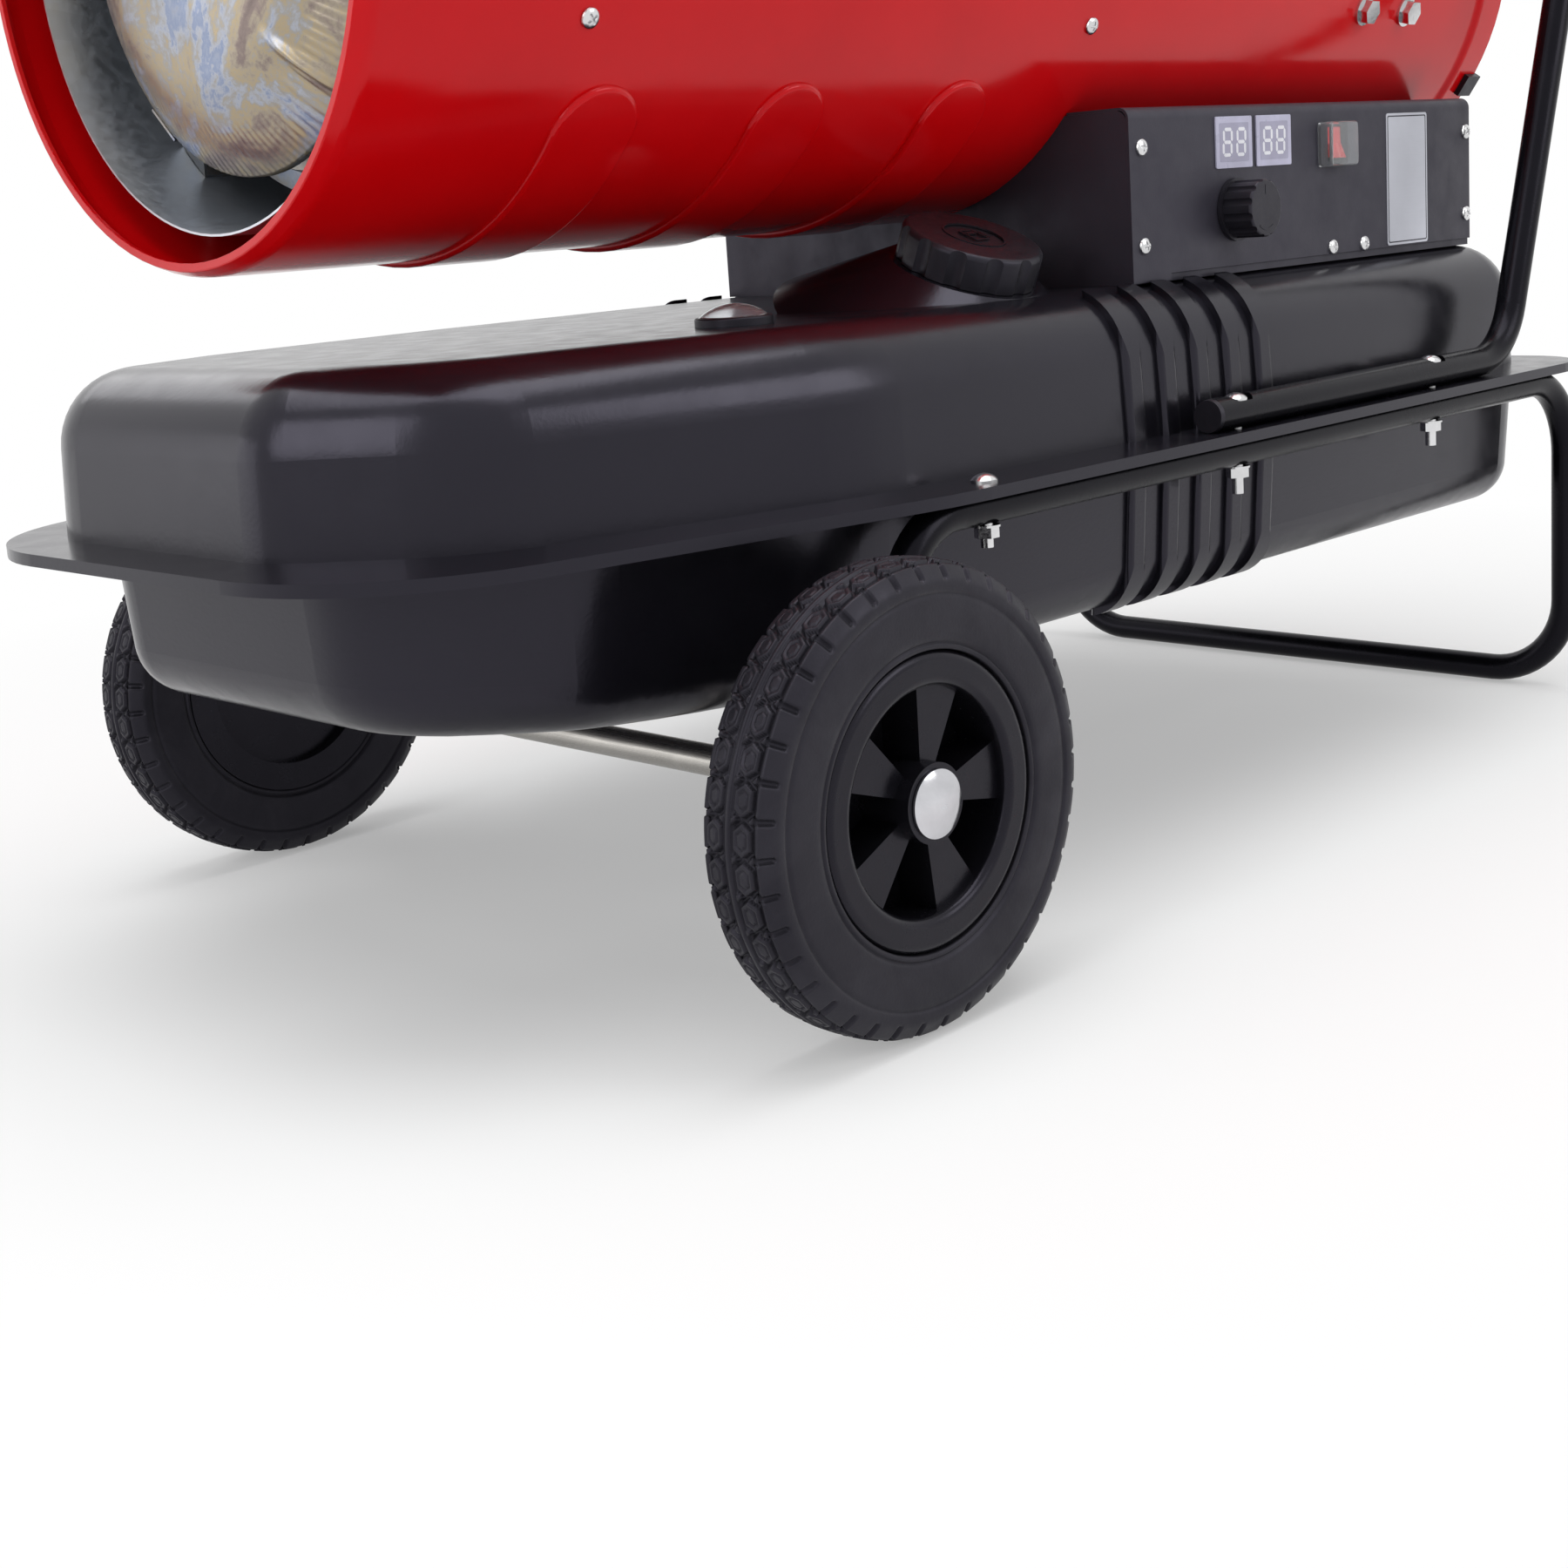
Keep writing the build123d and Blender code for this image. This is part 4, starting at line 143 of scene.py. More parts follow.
class Mat(Tree):
    """A node material with one Principled shader and a few ways to add detail to it."""

    def __init__(self, name, color, rough, metal=0.0, spec=0.5, tint=(1, 1, 1)):
        self.material = bpy.data.materials.new(name)
        self.material.use_nodes = True
        super().__init__(self.material.node_tree)
        self.shader = self.nodes["Principled BSDF"]
        self.shader.inputs["Base Color"].default_value = (*color, 1)
        self.shader.inputs["Roughness"].default_value = rough
        self.shader.inputs["Metallic"].default_value = metal
        self.shader.inputs["Specular IOR Level"].default_value = spec
        self.shader.inputs["Specular Tint"].default_value = (*tint, 1)
        self.coords = self.new("ShaderNodeTexCoord")
        self.height = None

    def place(self, scale=(1, 1, 1)):
        """The object's own coordinates, stretched."""
        mapping = self.new("ShaderNodeMapping")
        mapping.inputs["Scale"].default_value = scale
        self.link(self.coords.outputs["Object"], mapping.inputs["Vector"])
        return mapping.outputs["Vector"]

    def axis(self, letter):
        """One of the object's own coordinates."""
        axes = self.new("ShaderNodeSeparateXYZ")
        self.link(self.coords.outputs["Object"], axes.inputs[0])
        return axes.outputs[letter]

    def noise(self, scale, detail=3.0, rough=0.5, stretch=(1, 1, 1), distortion=0.0):
        tex = self.new("ShaderNodeTexNoise")
        tex.inputs["Scale"].default_value = scale
        tex.inputs["Detail"].default_value = detail
        tex.inputs["Roughness"].default_value = rough
        tex.inputs["Distortion"].default_value = distortion
        self.link(self.place(stretch), tex.inputs["Vector"])
        return tex.outputs["Fac"]

    def ramp(self, value, stops):
        """Colours at rising positions, from a list of (position, colour)."""
        node = self.new("ShaderNodeValToRGB")
        elements = node.color_ramp.elements
        for element, (position, color) in zip(elements, (stops[0], stops[-1])):
            element.position = position
            element.color = (*color, 1)
        for position, color in stops[1:-1]:
            elements.new(position).color = (*color, 1)
        self.link(value, node.inputs["Fac"])
        return node.outputs["Color"]

    def mix(self, factor, a, b):
        """Blend two colours, each a socket or a tuple, by a socket or a number."""
        node = self.new("ShaderNodeMix")
        node.data_type = "RGBA"
        inputs = {i.identifier: i for i in node.inputs}
        for key, value in (("Factor_Float", factor), ("A_Color", a), ("B_Color", b)):
            if isinstance(value, (int, float)):
                inputs[key].default_value = value
            elif isinstance(value, tuple):
                inputs[key].default_value = (*value, 1)
            else:
                self.link(value, inputs[key])
        return next(o for o in node.outputs if o.identifier == "Result_Color")

    def color(self, socket):
        self.link(socket, self.shader.inputs["Base Color"])

    def roughness(self, socket, low, high, span=(0.3, 0.7)):
        """Let a noise move the roughness between two values."""
        self.link(self.remap(socket, span, (low, high)), self.shader.inputs["Roughness"])

    def mottle(self, socket, span, first, second):
        """Let a noise move the colour between two tones."""
        self.color(self.mix(self.remap(socket, span, (0, 1)), first, second))

    def bump(self, socket, distance, strength=1.0):
        """Add a relief to those already there."""
        node = self.new("ShaderNodeBump")
        node.inputs["Distance"].default_value = distance
        node.inputs["Strength"].default_value = strength
        self.link(socket, node.inputs["Height"])
        if self.height is not None:
            self.link(self.height, node.inputs["Normal"])
        self.height = node.outputs["Normal"]
        self.link(self.height, self.shader.inputs["Normal"])


def toned(color, factor, lift=0.0):
    """A colour made lighter or darker."""
    return tuple(min(1, c * factor + lift) for c in color)


# ---------------------------------------------------------------- kinds of surface

COOL = (0.84, 0.8, 1.0)  # bluish tint of the highlights on black pieces


def paint(name, color, rough, peel, spec=0.5, tint=COOL):
    """Sprayed or powder-coated sheet; peel is the scale and the depth of its orange peel."""
    m = Mat(name, color, rough, spec=spec, tint=tint)
    m.mottle(m.noise(14, 4), (0.35, 0.65), toned(color, 0.97), toned(color, 1.05, 0.0012))
    m.roughness(m.noise(55, 5, 0.6), rough * 0.85, rough * 1.25)
    m.bump(m.noise(peel[0], 2), peel[1])
    m.bump(m.noise(9, 2), 0.0004, 0.12)
    return m


def plastic(name, color, rough, grain=(1400, 0.00006), spec=0.5, tint=(1, 1, 1)):
    """Moulded plastic; grain is the scale and the depth of its spark-eroded surface."""
    m = Mat(name, color, rough, spec=spec, tint=tint)
    m.mottle(m.noise(30, 5, 0.65), (0.4, 0.7), color, toned(color, 1.25, 0.002))
    m.roughness(m.noise(160, 4, 0.6), rough * 0.85, min(1, rough * 1.2))
    m.bump(m.noise(grain[0], 3, 0.6), grain[1])
    return m


def rubber(name, color, rough):
    """Moulded rubber: blotchy bloom, scuffs and a dull uneven surface."""
    m = Mat(name, color, rough, spec=0.26, tint=COOL)
    blotch = m.noise(24, 6, 0.62, distortion=0.6)
    m.mottle(blotch, (0.42, 0.68), color, toned(color, 1.5, 0.004))
    m.roughness(m.noise(60, 5, 0.6), rough * 0.78, min(1, rough * 1.2))
    m.bump(m.noise(700, 4, 0.6), 0.00012, 0.7)
    m.bump(m.noise(60, 3), 0.0006, 0.25)
    return m


def metal(name, color, rough, stretch=(1, 1, 1), scale=500, depth=0.00003, vary=0.25):
    """Bare or plated metal, with fine lines along the direction of the least stretch."""
    m = Mat(name, color, rough, metal=1.0)
    stain = m.noise(22, 5, 0.6, distortion=0.4)
    m.mottle(stain, (0.38, 0.66), color, toned(color, 1 - vary * 0.5))
    m.roughness(m.noise(scale, 4, 0.6, stretch), rough * (1 - vary), rough * (1 + vary))
    m.bump(m.noise(scale, 3, 0.6, stretch), depth, 0.8)
    return m


def galvanised(name, color, rough):
    """Zinc-coated sheet: soft spangle cells of slightly different tone."""
    m = Mat(name, color, rough, metal=1.0)
    cells = m.new("ShaderNodeTexVoronoi")
    cells.inputs["Scale"].default_value = 55
    cells.inputs["Randomness"].default_value = 1
    m.link(m.place(), cells.inputs["Vector"])
    tone = m.remap(cells.outputs["Color"], (0, 1), (0, 1))
    tone = m.calc("MULTIPLY", tone, m.noise(18, 5, 0.6))
    m.color(m.mix(tone, color, toned(color, 0.72)))
    m.roughness(m.noise(220, 5, 0.7), rough * 0.8, rough * 1.25, span=(0.25, 0.75))
    m.bump(m.noise(420, 4, 0.65), 0.00005, 0.8)
    return m


def cut_edge(m, edge_x, bright):
    """Brighten the sheared edge of a sheet that ends at edge_x."""
    at_edge = m.calc("LESS_THAN", m.axis("X"), edge_x + 0.0004)
    old = m.shader.inputs["Base Color"].links[0].from_socket
    m.color(m.mix(at_edge, old, bright))
    return m


def threaded(name, pitch, below):
    """Plated steel with rolled thread ridges round the shank under a height."""
    m = metal(name, (0.74, 0.74, 0.75), 0.19, scale=700, vary=0.3)
    wave = m.calc("SINE", m.calc("MULTIPLY", m.axis("Z"), 2 * math.pi / pitch), 0)
    low = m.calc("LESS_THAN", m.axis("Z"), below)
    m.bump(m.calc("MULTIPLY", wave, low), pitch * 0.3)
    return m


HEAT_COLORS = [  # bare steel, straw, blue and grey, as flame leaves them
    (0.32, (0.10, 0.07, 0.07)),
    (0.41, (0.21, 0.16, 0.145)),
    (0.46, (0.34, 0.29, 0.22)),
    (0.485, (0.38, 0.30, 0.18)),
    (0.515, (0.30, 0.29, 0.28)),
    (0.55, (0.36, 0.38, 0.44)),
    (0.585, (0.20, 0.25, 0.38)),
    (0.63, (0.28, 0.32, 0.42)),
    (0.70, (0.30, 0.28, 0.31)),
]


def heat_tint(name, base, spread):
    """Sheet steel stained by flame; spread is how much of the stain covers the base."""
    m = Mat(name, base, 0.34, metal=1.0)
    patches = m.noise(16, 6, 0.62, distortion=1.2)
    fine = m.noise(120, 6, 0.7, distortion=0.5)
    both = m.calc("ADD", m.calc("MULTIPLY", patches, 0.78), m.calc("MULTIPLY", fine, 0.22))
    m.color(m.mix(spread, base, m.ramp(both, HEAT_COLORS)))
    m.roughness(fine, 0.26, 0.46)
    m.bump(m.noise(500, 4, 0.6), 0.00006, 0.8)
    m.bump(m.noise(45, 3), 0.0006, 0.3)
    return m


def clear_plastic():
    """Clear moulded plastic, a little wavy and handled."""
    m = Mat("clear_plastic", (0.93, 0.95, 0.97), 0.06)
    m.shader.inputs["Transmission Weight"].default_value = 0.94
    m.shader.inputs["IOR"].default_value = 1.32
    m.roughness(m.noise(90, 4), 0.03, 0.12)
    m.bump(m.noise(60, 2), 0.0002, 0.25)
    return m


# ---------------------------------------------------------------- materials

FINE = (900, 0.00001)  # grain of the display's faces
SMOOTH = (900, 0.00002)
BARREL_RED = (0.6, 0.001, 0.003)
WARM_TINT = (1, 0.42, 0.48)  # keeps the red paint's highlights from turning pink

black_gloss = paint("tank_paint", (0.0062, 0.0058, 0.0085), 0.21, (520, 0.00004), spec=0.38)
frame_black = paint("frame_paint", (0.002, 0.002, 0.003), 0.24, (900, 0.00004), spec=0.15)
red_gloss = paint("barrel_paint", BARREL_RED, 0.15, (430, 0.00003), spec=0.42, tint=WARM_TINT)
panel_black = paint("panel_paint", (0.023, 0.0215, 0.0295), 0.45, (1100, 0.00005), spec=0.4)
motor_paint = paint("motor_paint", (0.05, 0.05, 0.055), 0.42, (900, 0.00006))

black_plastic = plastic("black_plastic", (0.0085, 0.008, 0.0105), 0.4, spec=0.34, tint=COOL)
rim_plastic = plastic(
    "rim_plastic", (0.0045, 0.0043, 0.006), 0.24, (900, 0.00004), spec=0.26, tint=COOL
)
ceramic = plastic("ceramic", (0.86, 0.85, 0.81), 0.18, (500, 0.00002))
white_plastic = plastic("white_plastic", (0.8, 0.8, 0.77), 0.4)
red_plastic = plastic("red_plastic", (0.62, 0.012, 0.01), 0.25, (700, 0.00002))
display_grey = plastic("display_grey", (0.47, 0.46, 0.60), 0.3, SMOOTH)
display_window = plastic("display_window", (0.35, 0.34, 0.46), 0.12, FINE)
segment_white = plastic("segment_white", (0.78, 0.78, 0.84), 0.25, FINE)
board_green = plastic("board_green", (0.03, 0.2, 0.09), 0.4)
clear = clear_plastic()

tyre_rubber = rubber("tyre_rubber", (0.011, 0.0105, 0.0135), 0.46)
hose_rubber = rubber("rubber", (0.013, 0.013, 0.013), 0.6)

zinc = metal("zinc", (0.72, 0.72, 0.73), 0.2, scale=700, vary=0.3)
bolt_zinc = threaded("bolt_zinc", 0.00125, BOLT_THREAD_Z)
chrome = metal("chrome", (0.66, 0.66, 0.69), 0.11, scale=300, vary=0.5)
steel = metal("steel", (0.56, 0.55, 0.53), 0.26, (0.2, 14, 14), scale=120, vary=0.35)
axle_steel = metal("axle_steel", (0.5, 0.48, 0.45), 0.3, (14, 0.2, 14), scale=120, vary=0.35)
brass = metal("brass", (0.74, 0.55, 0.26), 0.24, scale=600)
aluminium = metal("aluminium", (0.72, 0.73, 0.75), 0.36, scale=900, depth=0.00006)
plate_silver = metal(
    "plate_silver", (0.60, 0.61, 0.67), 0.42, (1, 1, 30), scale=60, depth=0.00001, vary=0.12
)
zinc_sheet = galvanised("galvanised", (0.36, 0.38, 0.41), 0.3)
liner_sheet = cut_edge(
    galvanised("liner_zinc", (0.6, 0.65, 0.72), 0.42), LINER_FRONT, (0.62, 0.64, 0.68)
)
hot_face = heat_tint("hot_face", (0.5, 0.47, 0.44), 0.9)
hot_steel = heat_tint("hot_steel", (0.34, 0.34, 0.34), 0.4)

USES = {
    "tank_lower_shell": black_gloss, "tank_upper_shell": black_gloss, "drain_plug": zinc,
    "filler_strainer": brass, "filler_cap": black_plastic, "cap_gasket": hose_rubber,
    "fuel_gauge_housing": black_plastic, "fuel_gauge_lens": clear,
    "fuel_gauge_pointer": red_plastic, "gauge_float": white_plastic,
    "stand_frame": frame_black, "handle_tube": frame_black, "handle_plugs": black_plastic,
    "flange_bolts": bolt_zinc, "flange_nuts": zinc,
    "axle": axle_steel, "axle_spacers": frame_black, "axle_caps": chrome,
    "wheel_rim_left": rim_plastic, "wheel_rim_right": rim_plastic,
    "tyre_left": tyre_rubber, "tyre_right": tyre_rubber,
    "barrel_lower_shell": red_gloss, "barrel_upper_shell": red_gloss, "barrel_screws": zinc,
    "outlet_liner": liner_sheet, "liner_standoffs": steel, "combustion_chamber": hot_steel,
    "flame_deflector": hot_face, "deflector_brackets": hot_steel, "burner_head": hot_steel,
    "nozzle": brass, "electrodes": ceramic, "flame_sensor": black_plastic,
    "motor_case": motor_paint, "motor_shaft": steel, "motor_bracket": zinc_sheet,
    "motor_bolts": zinc, "fan": aluminium, "pump_body": aluminium, "pump_rotor": steel,
    "pump_filter_cover": black_plastic, "rear_guard": chrome, "guard_clips": black_plastic,
    "air_hose": hose_rubber, "fuel_hose": hose_rubber,
    "pedestal_shell": panel_black, "pedestal_screws": zinc, "control_panel": panel_black,
    "panel_screws": zinc, "thermostat_knob": black_plastic, "thermostat_body": black_plastic,
    "display_modules": display_grey, "switch_housing": black_plastic,
    "switch_rocker": red_plastic, "switch_cover": clear, "rating_plate": plate_silver,
    "control_board": board_green, "ignition_transformer": black_plastic,
    "cable_gland": black_plastic,
}
for name, surface in USES.items():
    data = nodes[name].data
    if not data.materials:
        data.materials.append(surface.material)
    for i in range(len(data.materials)):
        data.materials[i] = surface.material

# ---------------------------------------------------------------- mesh helpers


def mesh_object(name, verts, faces, surface, body, smooth=False):
    """A mesh object of that name that rides on a body."""
    mesh = bpy.data.meshes.new(name)
    mesh.from_pydata([tuple(v) for v in verts], [], [tuple(f) for f in faces])
    mesh.update()
    mesh.materials.append(surface.material)
    if smooth:
        mesh.shade_smooth()
    obj = bpy.data.objects.new(name, mesh)
    scene.collection.objects.link(obj)
    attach(obj, body)
    return obj


def grid_faces(rows, cols, close_rows=False, close_cols=False):
    """Quads of a grid of rows x cols vertices stored row by row."""
    faces = []
    for i in range(rows if close_rows else rows - 1):
        for j in range(cols if close_cols else cols - 1):
            here, below = i * cols, ((i + 1) % rows) * cols
            after = (j + 1) % cols
            faces.append((here + j, here + after, below + after, below + j))
    return faces


def joined(parts):
    """Several (verts, faces) lists as one."""
    verts, faces = [], []
    for more, their_faces in parts:
        start = len(verts)
        verts += list(more)
        faces += [tuple(start + i for i in face) for face in their_faces]
    return verts, faces


def step(x, a, b):
    """Smooth 0 to 1 between a and b, for arrays."""
    t = np.clip((x - a) / (b - a), 0, 1)
    return t * t * (3 - 2 * t)


def band(x, a, b, c, d):
    """Smooth 0 to 1 between a and b, and back between c and d, for arrays."""
    return step(x, a, b) * (1 - step(x, c, d))


# ---------------------------------------------------------------- tyres with tread, millimetres

TYRE_R = 100
BLOCKS = 40  # pads round each side of the tread
PER_BLOCK = 24  # mesh columns in a pad's length
PAD_MIDDLE = 7.6  # from the tyre's middle plane to the middle of its pads
PAD_LOW, PAD_HIGH = 2.2, 13.4  # where the pads begin and end
SHOULDER = 13.2  # where the lugs begin
CROWN_R, CROWN_RISE, CROWN_HALF = 98.75, 1.2, 12.9
SIDEWALL = [  # radius, distance from the middle plane
    (63.1, 16.6), (63.1, 17.3), (63.6, 17.9), (64.6, 18.1), (65.2, 18.0), (65.6, 17.3),
    (66.2, 17.2), (66.8, 18.2), (68.0, 18.6), (70.0, 18.75), (73.0, 18.85), (76.5, 18.9),
    (80.0, 18.85), (83.0, 18.7), (85.0, 18.5), (85.6, 18.1), (86.2, 18.1), (86.7, 18.7),
    (87.6, 18.95), (89.0, 18.95), (90.2, 18.9), (91.0, 18.75), (91.8, 18.5), (92.6, 18.15),
    (93.4, 17.7), (94.2, 17.2), (95.0, 16.7), (95.8, 16.15), (96.6, 15.6), (97.3, 15.05),
    (97.9, 14.5), (98.4, 13.95), (CROWN_R, PAD_HIGH),
]


def tread(s, w):
    """Groove depth at s pitches round the tyre and w from its middle plane."""
    pitch = 2 * math.pi * TYRE_R / BLOCKS
    a = np.abs(w)
    inside = (a > PAD_LOW) & (a < PAD_HIGH)
    along = (np.mod(s, 1) - 0.5) * pitch
    across = np.abs(a - PAD_MIDDLE)
    hexagon = np.maximum(across / 4.8, np.abs(along) / 7.9 + across / 10.5)
    round_pad = band(hexagon, 0.84, 0.93, 1.17, 1.28)
    in_pad = 0.3 * (1 - step(np.abs(hexagon - 0.5), 0.02, 0.09))
    between = (np.mod(s + 0.5, 1) - 0.5) * pitch
    chevron = 1 - step(np.abs(between - 0.35 * (a - PAD_MIDDLE)), 0.35, 0.75)
    lug_gap = 1 - step(np.abs(between), 0.8, 1.7)
    return np.maximum.reduce([
        1.7 * band(a, 0.9, 1.3, 1.7, 2.1),
        np.where(inside, 2.7 * np.maximum(round_pad, in_pad), 0),
        np.where(inside, 2.2 * chevron, 0),
        2.2 * band(a, 12.7, SHOULDER, 13.7, 14.3),
        np.where(a > SHOULDER, 2.2 * lug_gap, 0),
    ])


def tyre(name, node, body, side):
    """Solid rubber tyre: bead, sidewall with raised lines, lugged shoulder and blocked crown."""
    crown = [
        (CROWN_R + CROWN_RISE * (1 - (w / PAD_HIGH) ** 2), w)
        for w in np.linspace(CROWN_HALF, -CROWN_HALF, 53)
    ]
    profile = np.array(SIDEWALL + crown + [(r, -w) for r, w in reversed(SIDEWALL)])
    columns = BLOCKS * PER_BLOCK
    s, w = np.meshgrid(np.arange(columns) / PER_BLOCK, profile[:, 1], indexing="ij")
    r = np.broadcast_to(profile[:, 0], s.shape)
    cut = tread(s, w) * step(r, 91.2, 93.2)
    wear = np.abs(0.12 * np.sin(s * 1.7 + w * 0.6) * step(r, 95, 98))
    normal_w = np.where(np.abs(w) > SHOULDER, np.sign(w) * 0.62, w / 60)
    r = r - cut * np.sqrt(1 - normal_w**2) - wear
    w = w - cut * normal_w
    angle = 2 * math.pi * s / BLOCKS
    verts = np.stack([
        AXLE_X + r / 1000 * np.cos(angle),
        side * WHEEL_Y + w / 1000,
        AXLE_Z + r / 1000 * np.sin(angle),
    ], -1).reshape(-1, 3)
    faces = grid_faces(columns, len(profile), close_rows=True, close_cols=True)
    obj = mesh_object(name, verts, faces, tyre_rubber, body, smooth=True)
    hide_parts(node)


tyre("tyre_tread_left", "tyre_left", "wheel_left", -1)
tyre("tyre_tread_right", "tyre_right", "wheel_right", 1)

# ---------------------------------------------------------------- flame deflector, millimetres

DISC_R = 108.0
DOME_R, DOME_DEPTH = 66.0, 7.0
RIM_DEPTH = 23.0
DISC_COLUMNS = 900
PLEATS = 150
FOLD_AT = math.radians(227.0)
SHEET = 0.0011  # metres
LIP = 0.004  # metres that the rim is turned back


def deflector():
    """Pressed disc: shallow dome, pleated rim and one folded crease."""
    radii = np.concatenate([np.linspace(1.0, 60, 30), np.linspace(62, DISC_R, 60)])
    angles = np.arange(DISC_COLUMNS) * 2 * math.pi / DISC_COLUMNS
    a, r = np.meshgrid(angles, radii, indexing="ij")
    t = np.clip((r - DOME_R) / (DISC_R - DOME_R), 0, 1)
    dome = DOME_DEPTH * (r / DOME_R) ** 2
    cone = DOME_DEPTH + RIM_DEPTH * (0.39 * t + 0.61 * t**2)
    apex = DISC_APEX_X * 1000
    x = apex + np.where(r < DOME_R, dome, cone)

    pleats = np.sin(a * PLEATS + 1.7 * np.sin(a * 7)) * 0.5 * step(r, 84, 92)
    pleats *= 0.7 + 0.3 * np.sin(a * 5 + 0.8)
    off = np.angle(np.exp(1j * (a - FOLD_AT))) * r
    fold = 2.6 * np.exp(-((off / 2.6) ** 2)) * step(r, 70, 84)
    dent = -1.2 * np.exp(-(((off - 7) / 4.0) ** 2)) * step(r, 74, 88)
    ripple = 0.25 * np.sin(a * 3 + r * 0.11) * step(r, 10, 50)
    x = x + 0.3 + pleats * 0.6 - (fold + dent) * (1 - step(r, 104, DISC_R) * 0.4)
    x = np.maximum(np.maximum(x, apex) + ripple, apex)

    front = np.stack([x / 1000, r / 1000 * np.cos(a), BARREL_Z + r / 1000 * np.sin(a)], -1)
    back = front + [SHEET, 0, 0]
    lip = front[:, -1:, :] + [LIP, 0, 0]
    loop = np.concatenate([front, lip, back[:, ::-1, :]], axis=1)
    width = loop.shape[1]
    tips = [[DISC_APEX_X, 0, BARREL_Z], [DISC_APEX_X + 0.0012, 0, BARREL_Z]]
    verts = np.concatenate([loop.reshape(-1, 3), tips])
    front_tip, back_tip = len(verts) - 2, len(verts) - 1
    faces = grid_faces(DISC_COLUMNS, width, close_rows=True)
    for i in range(DISC_COLUMNS):
        j = (i + 1) % DISC_COLUMNS
        faces.append((front_tip, j * width, i * width))
        faces.append((back_tip, i * width + width - 1, j * width + width - 1))
    obj = mesh_object("deflector_disc", verts, faces, hot_face, "chassis", smooth=True)
    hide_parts("flame_deflector")


deflector()

# ---------------------------------------------------------------- screws with cross recesses

HEAD_R, HEAD_HEIGHT = 0.0045, 0.0026
SHANK_R, SHANK_LENGTH, SHANK_PITCH = 0.0018, 0.008, 0.0007
HEAD_GRID = 45  # points along each side of the head's square grid
SEAT_GAP = 0.00005  # keeps a head's underside off the sheet


def lathe(profile, turns):
    """Rings of points (radius, height) turned about the local z axis, closed at both ends."""
    angles = np.arange(turns) * 2 * math.pi / turns
    verts = [[r * math.cos(a), r * math.sin(a), h] for r, h in profile for a in angles]
    faces = grid_faces(len(profile), turns, close_cols=True)
    faces.append(tuple(reversed(range(turns))))
    faces.append(tuple(range((len(profile) - 1) * turns, len(profile) * turns)))
    return verts, faces


def screw_head():
    """Pan head with a cross recess, its seat at z = 0."""
    n = HEAD_GRID
    line = np.linspace(-1, 1, n)
    u, v = np.meshgrid(line, line, indexing="ij")
    square = np.maximum(np.abs(u), np.abs(v))
    length = np.hypot(u, v)
    to_disc = np.where(length > 1e-9, square / np.maximum(length, 1e-9), 1.0)
    x, y = u * to_disc * HEAD_R, v * to_disc * HEAD_R
    out = np.hypot(x, y) / HEAD_R
    dome = HEAD_HEIGHT * 0.25 + HEAD_HEIGHT * 0.75 * np.sqrt(np.clip(1 - out**2, 0, 1))
    long, thin = 0.5 * HEAD_R, 0.11 * HEAD_R
    cross = np.minimum(
        np.maximum(np.abs(x) / thin, np.abs(y) / long),
        np.maximum(np.abs(y) / thin, np.abs(x) / long),
    )
    z = dome - 0.45 * HEAD_HEIGHT * (1 - step(cross, 0.8, 1.25)) * (1 - 0.5 * out)
    verts = [list(p) for p in np.stack([x, y, z], -1).reshape(-1, 3)]
    faces = grid_faces(n, n)

    edge = [(0, j) for j in range(n)] + [(i, n - 1) for i in range(1, n)]
    edge += [(n - 1, j) for j in range(n - 2, -1, -1)] + [(i, 0) for i in range(n - 2, 0, -1)]
    top = [i * n + j for i, j in edge]
    low = [len(verts) + k for k in range(len(top))]
    verts += [[verts[k][0], verts[k][1], 0.0] for k in top]
    for k in range(len(top)):
        after = (k + 1) % len(top)
        faces.append((top[k], low[k], low[after], top[after]))
    faces.append(tuple(low))
    return verts, faces


def screw_shank():
    """Threaded shank below z = 0."""
    profile = [(SHANK_R, -0.0001)]
    for i in range(int(SHANK_LENGTH / SHANK_PITCH)):
        profile.append((SHANK_R, -(i + 0.2) * SHANK_PITCH))
        profile.append((SHANK_R * 0.84, -(i + 0.7) * SHANK_PITCH))
    profile.append((SHANK_R * 0.6, -SHANK_LENGTH))
    return lathe(profile, 20)


def screws(name, node, seats):
    """One piece for all screws of a node; seats are (place, outward direction, turn)."""
    verts, faces = joined([screw_head(), screw_shank()])
    parts = []
    for place, out, turn in seats:
        facing = Vector(out).normalized().to_track_quat("Z", "Y")
        facing = facing @ Matrix.Rotation(turn, 3, "Z").to_quaternion()
        parts.append(([tuple(Vector(place) + facing @ Vector(v)) for v in verts], faces))
    obj = mesh_object(name, *joined(parts), zinc, "chassis")
    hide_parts(node)


def barrel_seat(x, degrees):
    """Point and outward direction on the barrel's skin."""
    a = math.radians(degrees)
    out = (0, math.cos(a), math.sin(a))
    r = BARREL_R + SEAT_GAP
    return (x, r * out[1], BARREL_Z + r * out[2]), out


barrel_seats = [barrel_seat(AXLE_X + dx, a) for a in (-22, 202) for dx in (-0.048, 0.287)]
screws(
    "barrel_screw_heads", "barrel_screws",
    [(place, out, 0.4 + i * 0.9) for i, (place, out) in enumerate(barrel_seats)],
)

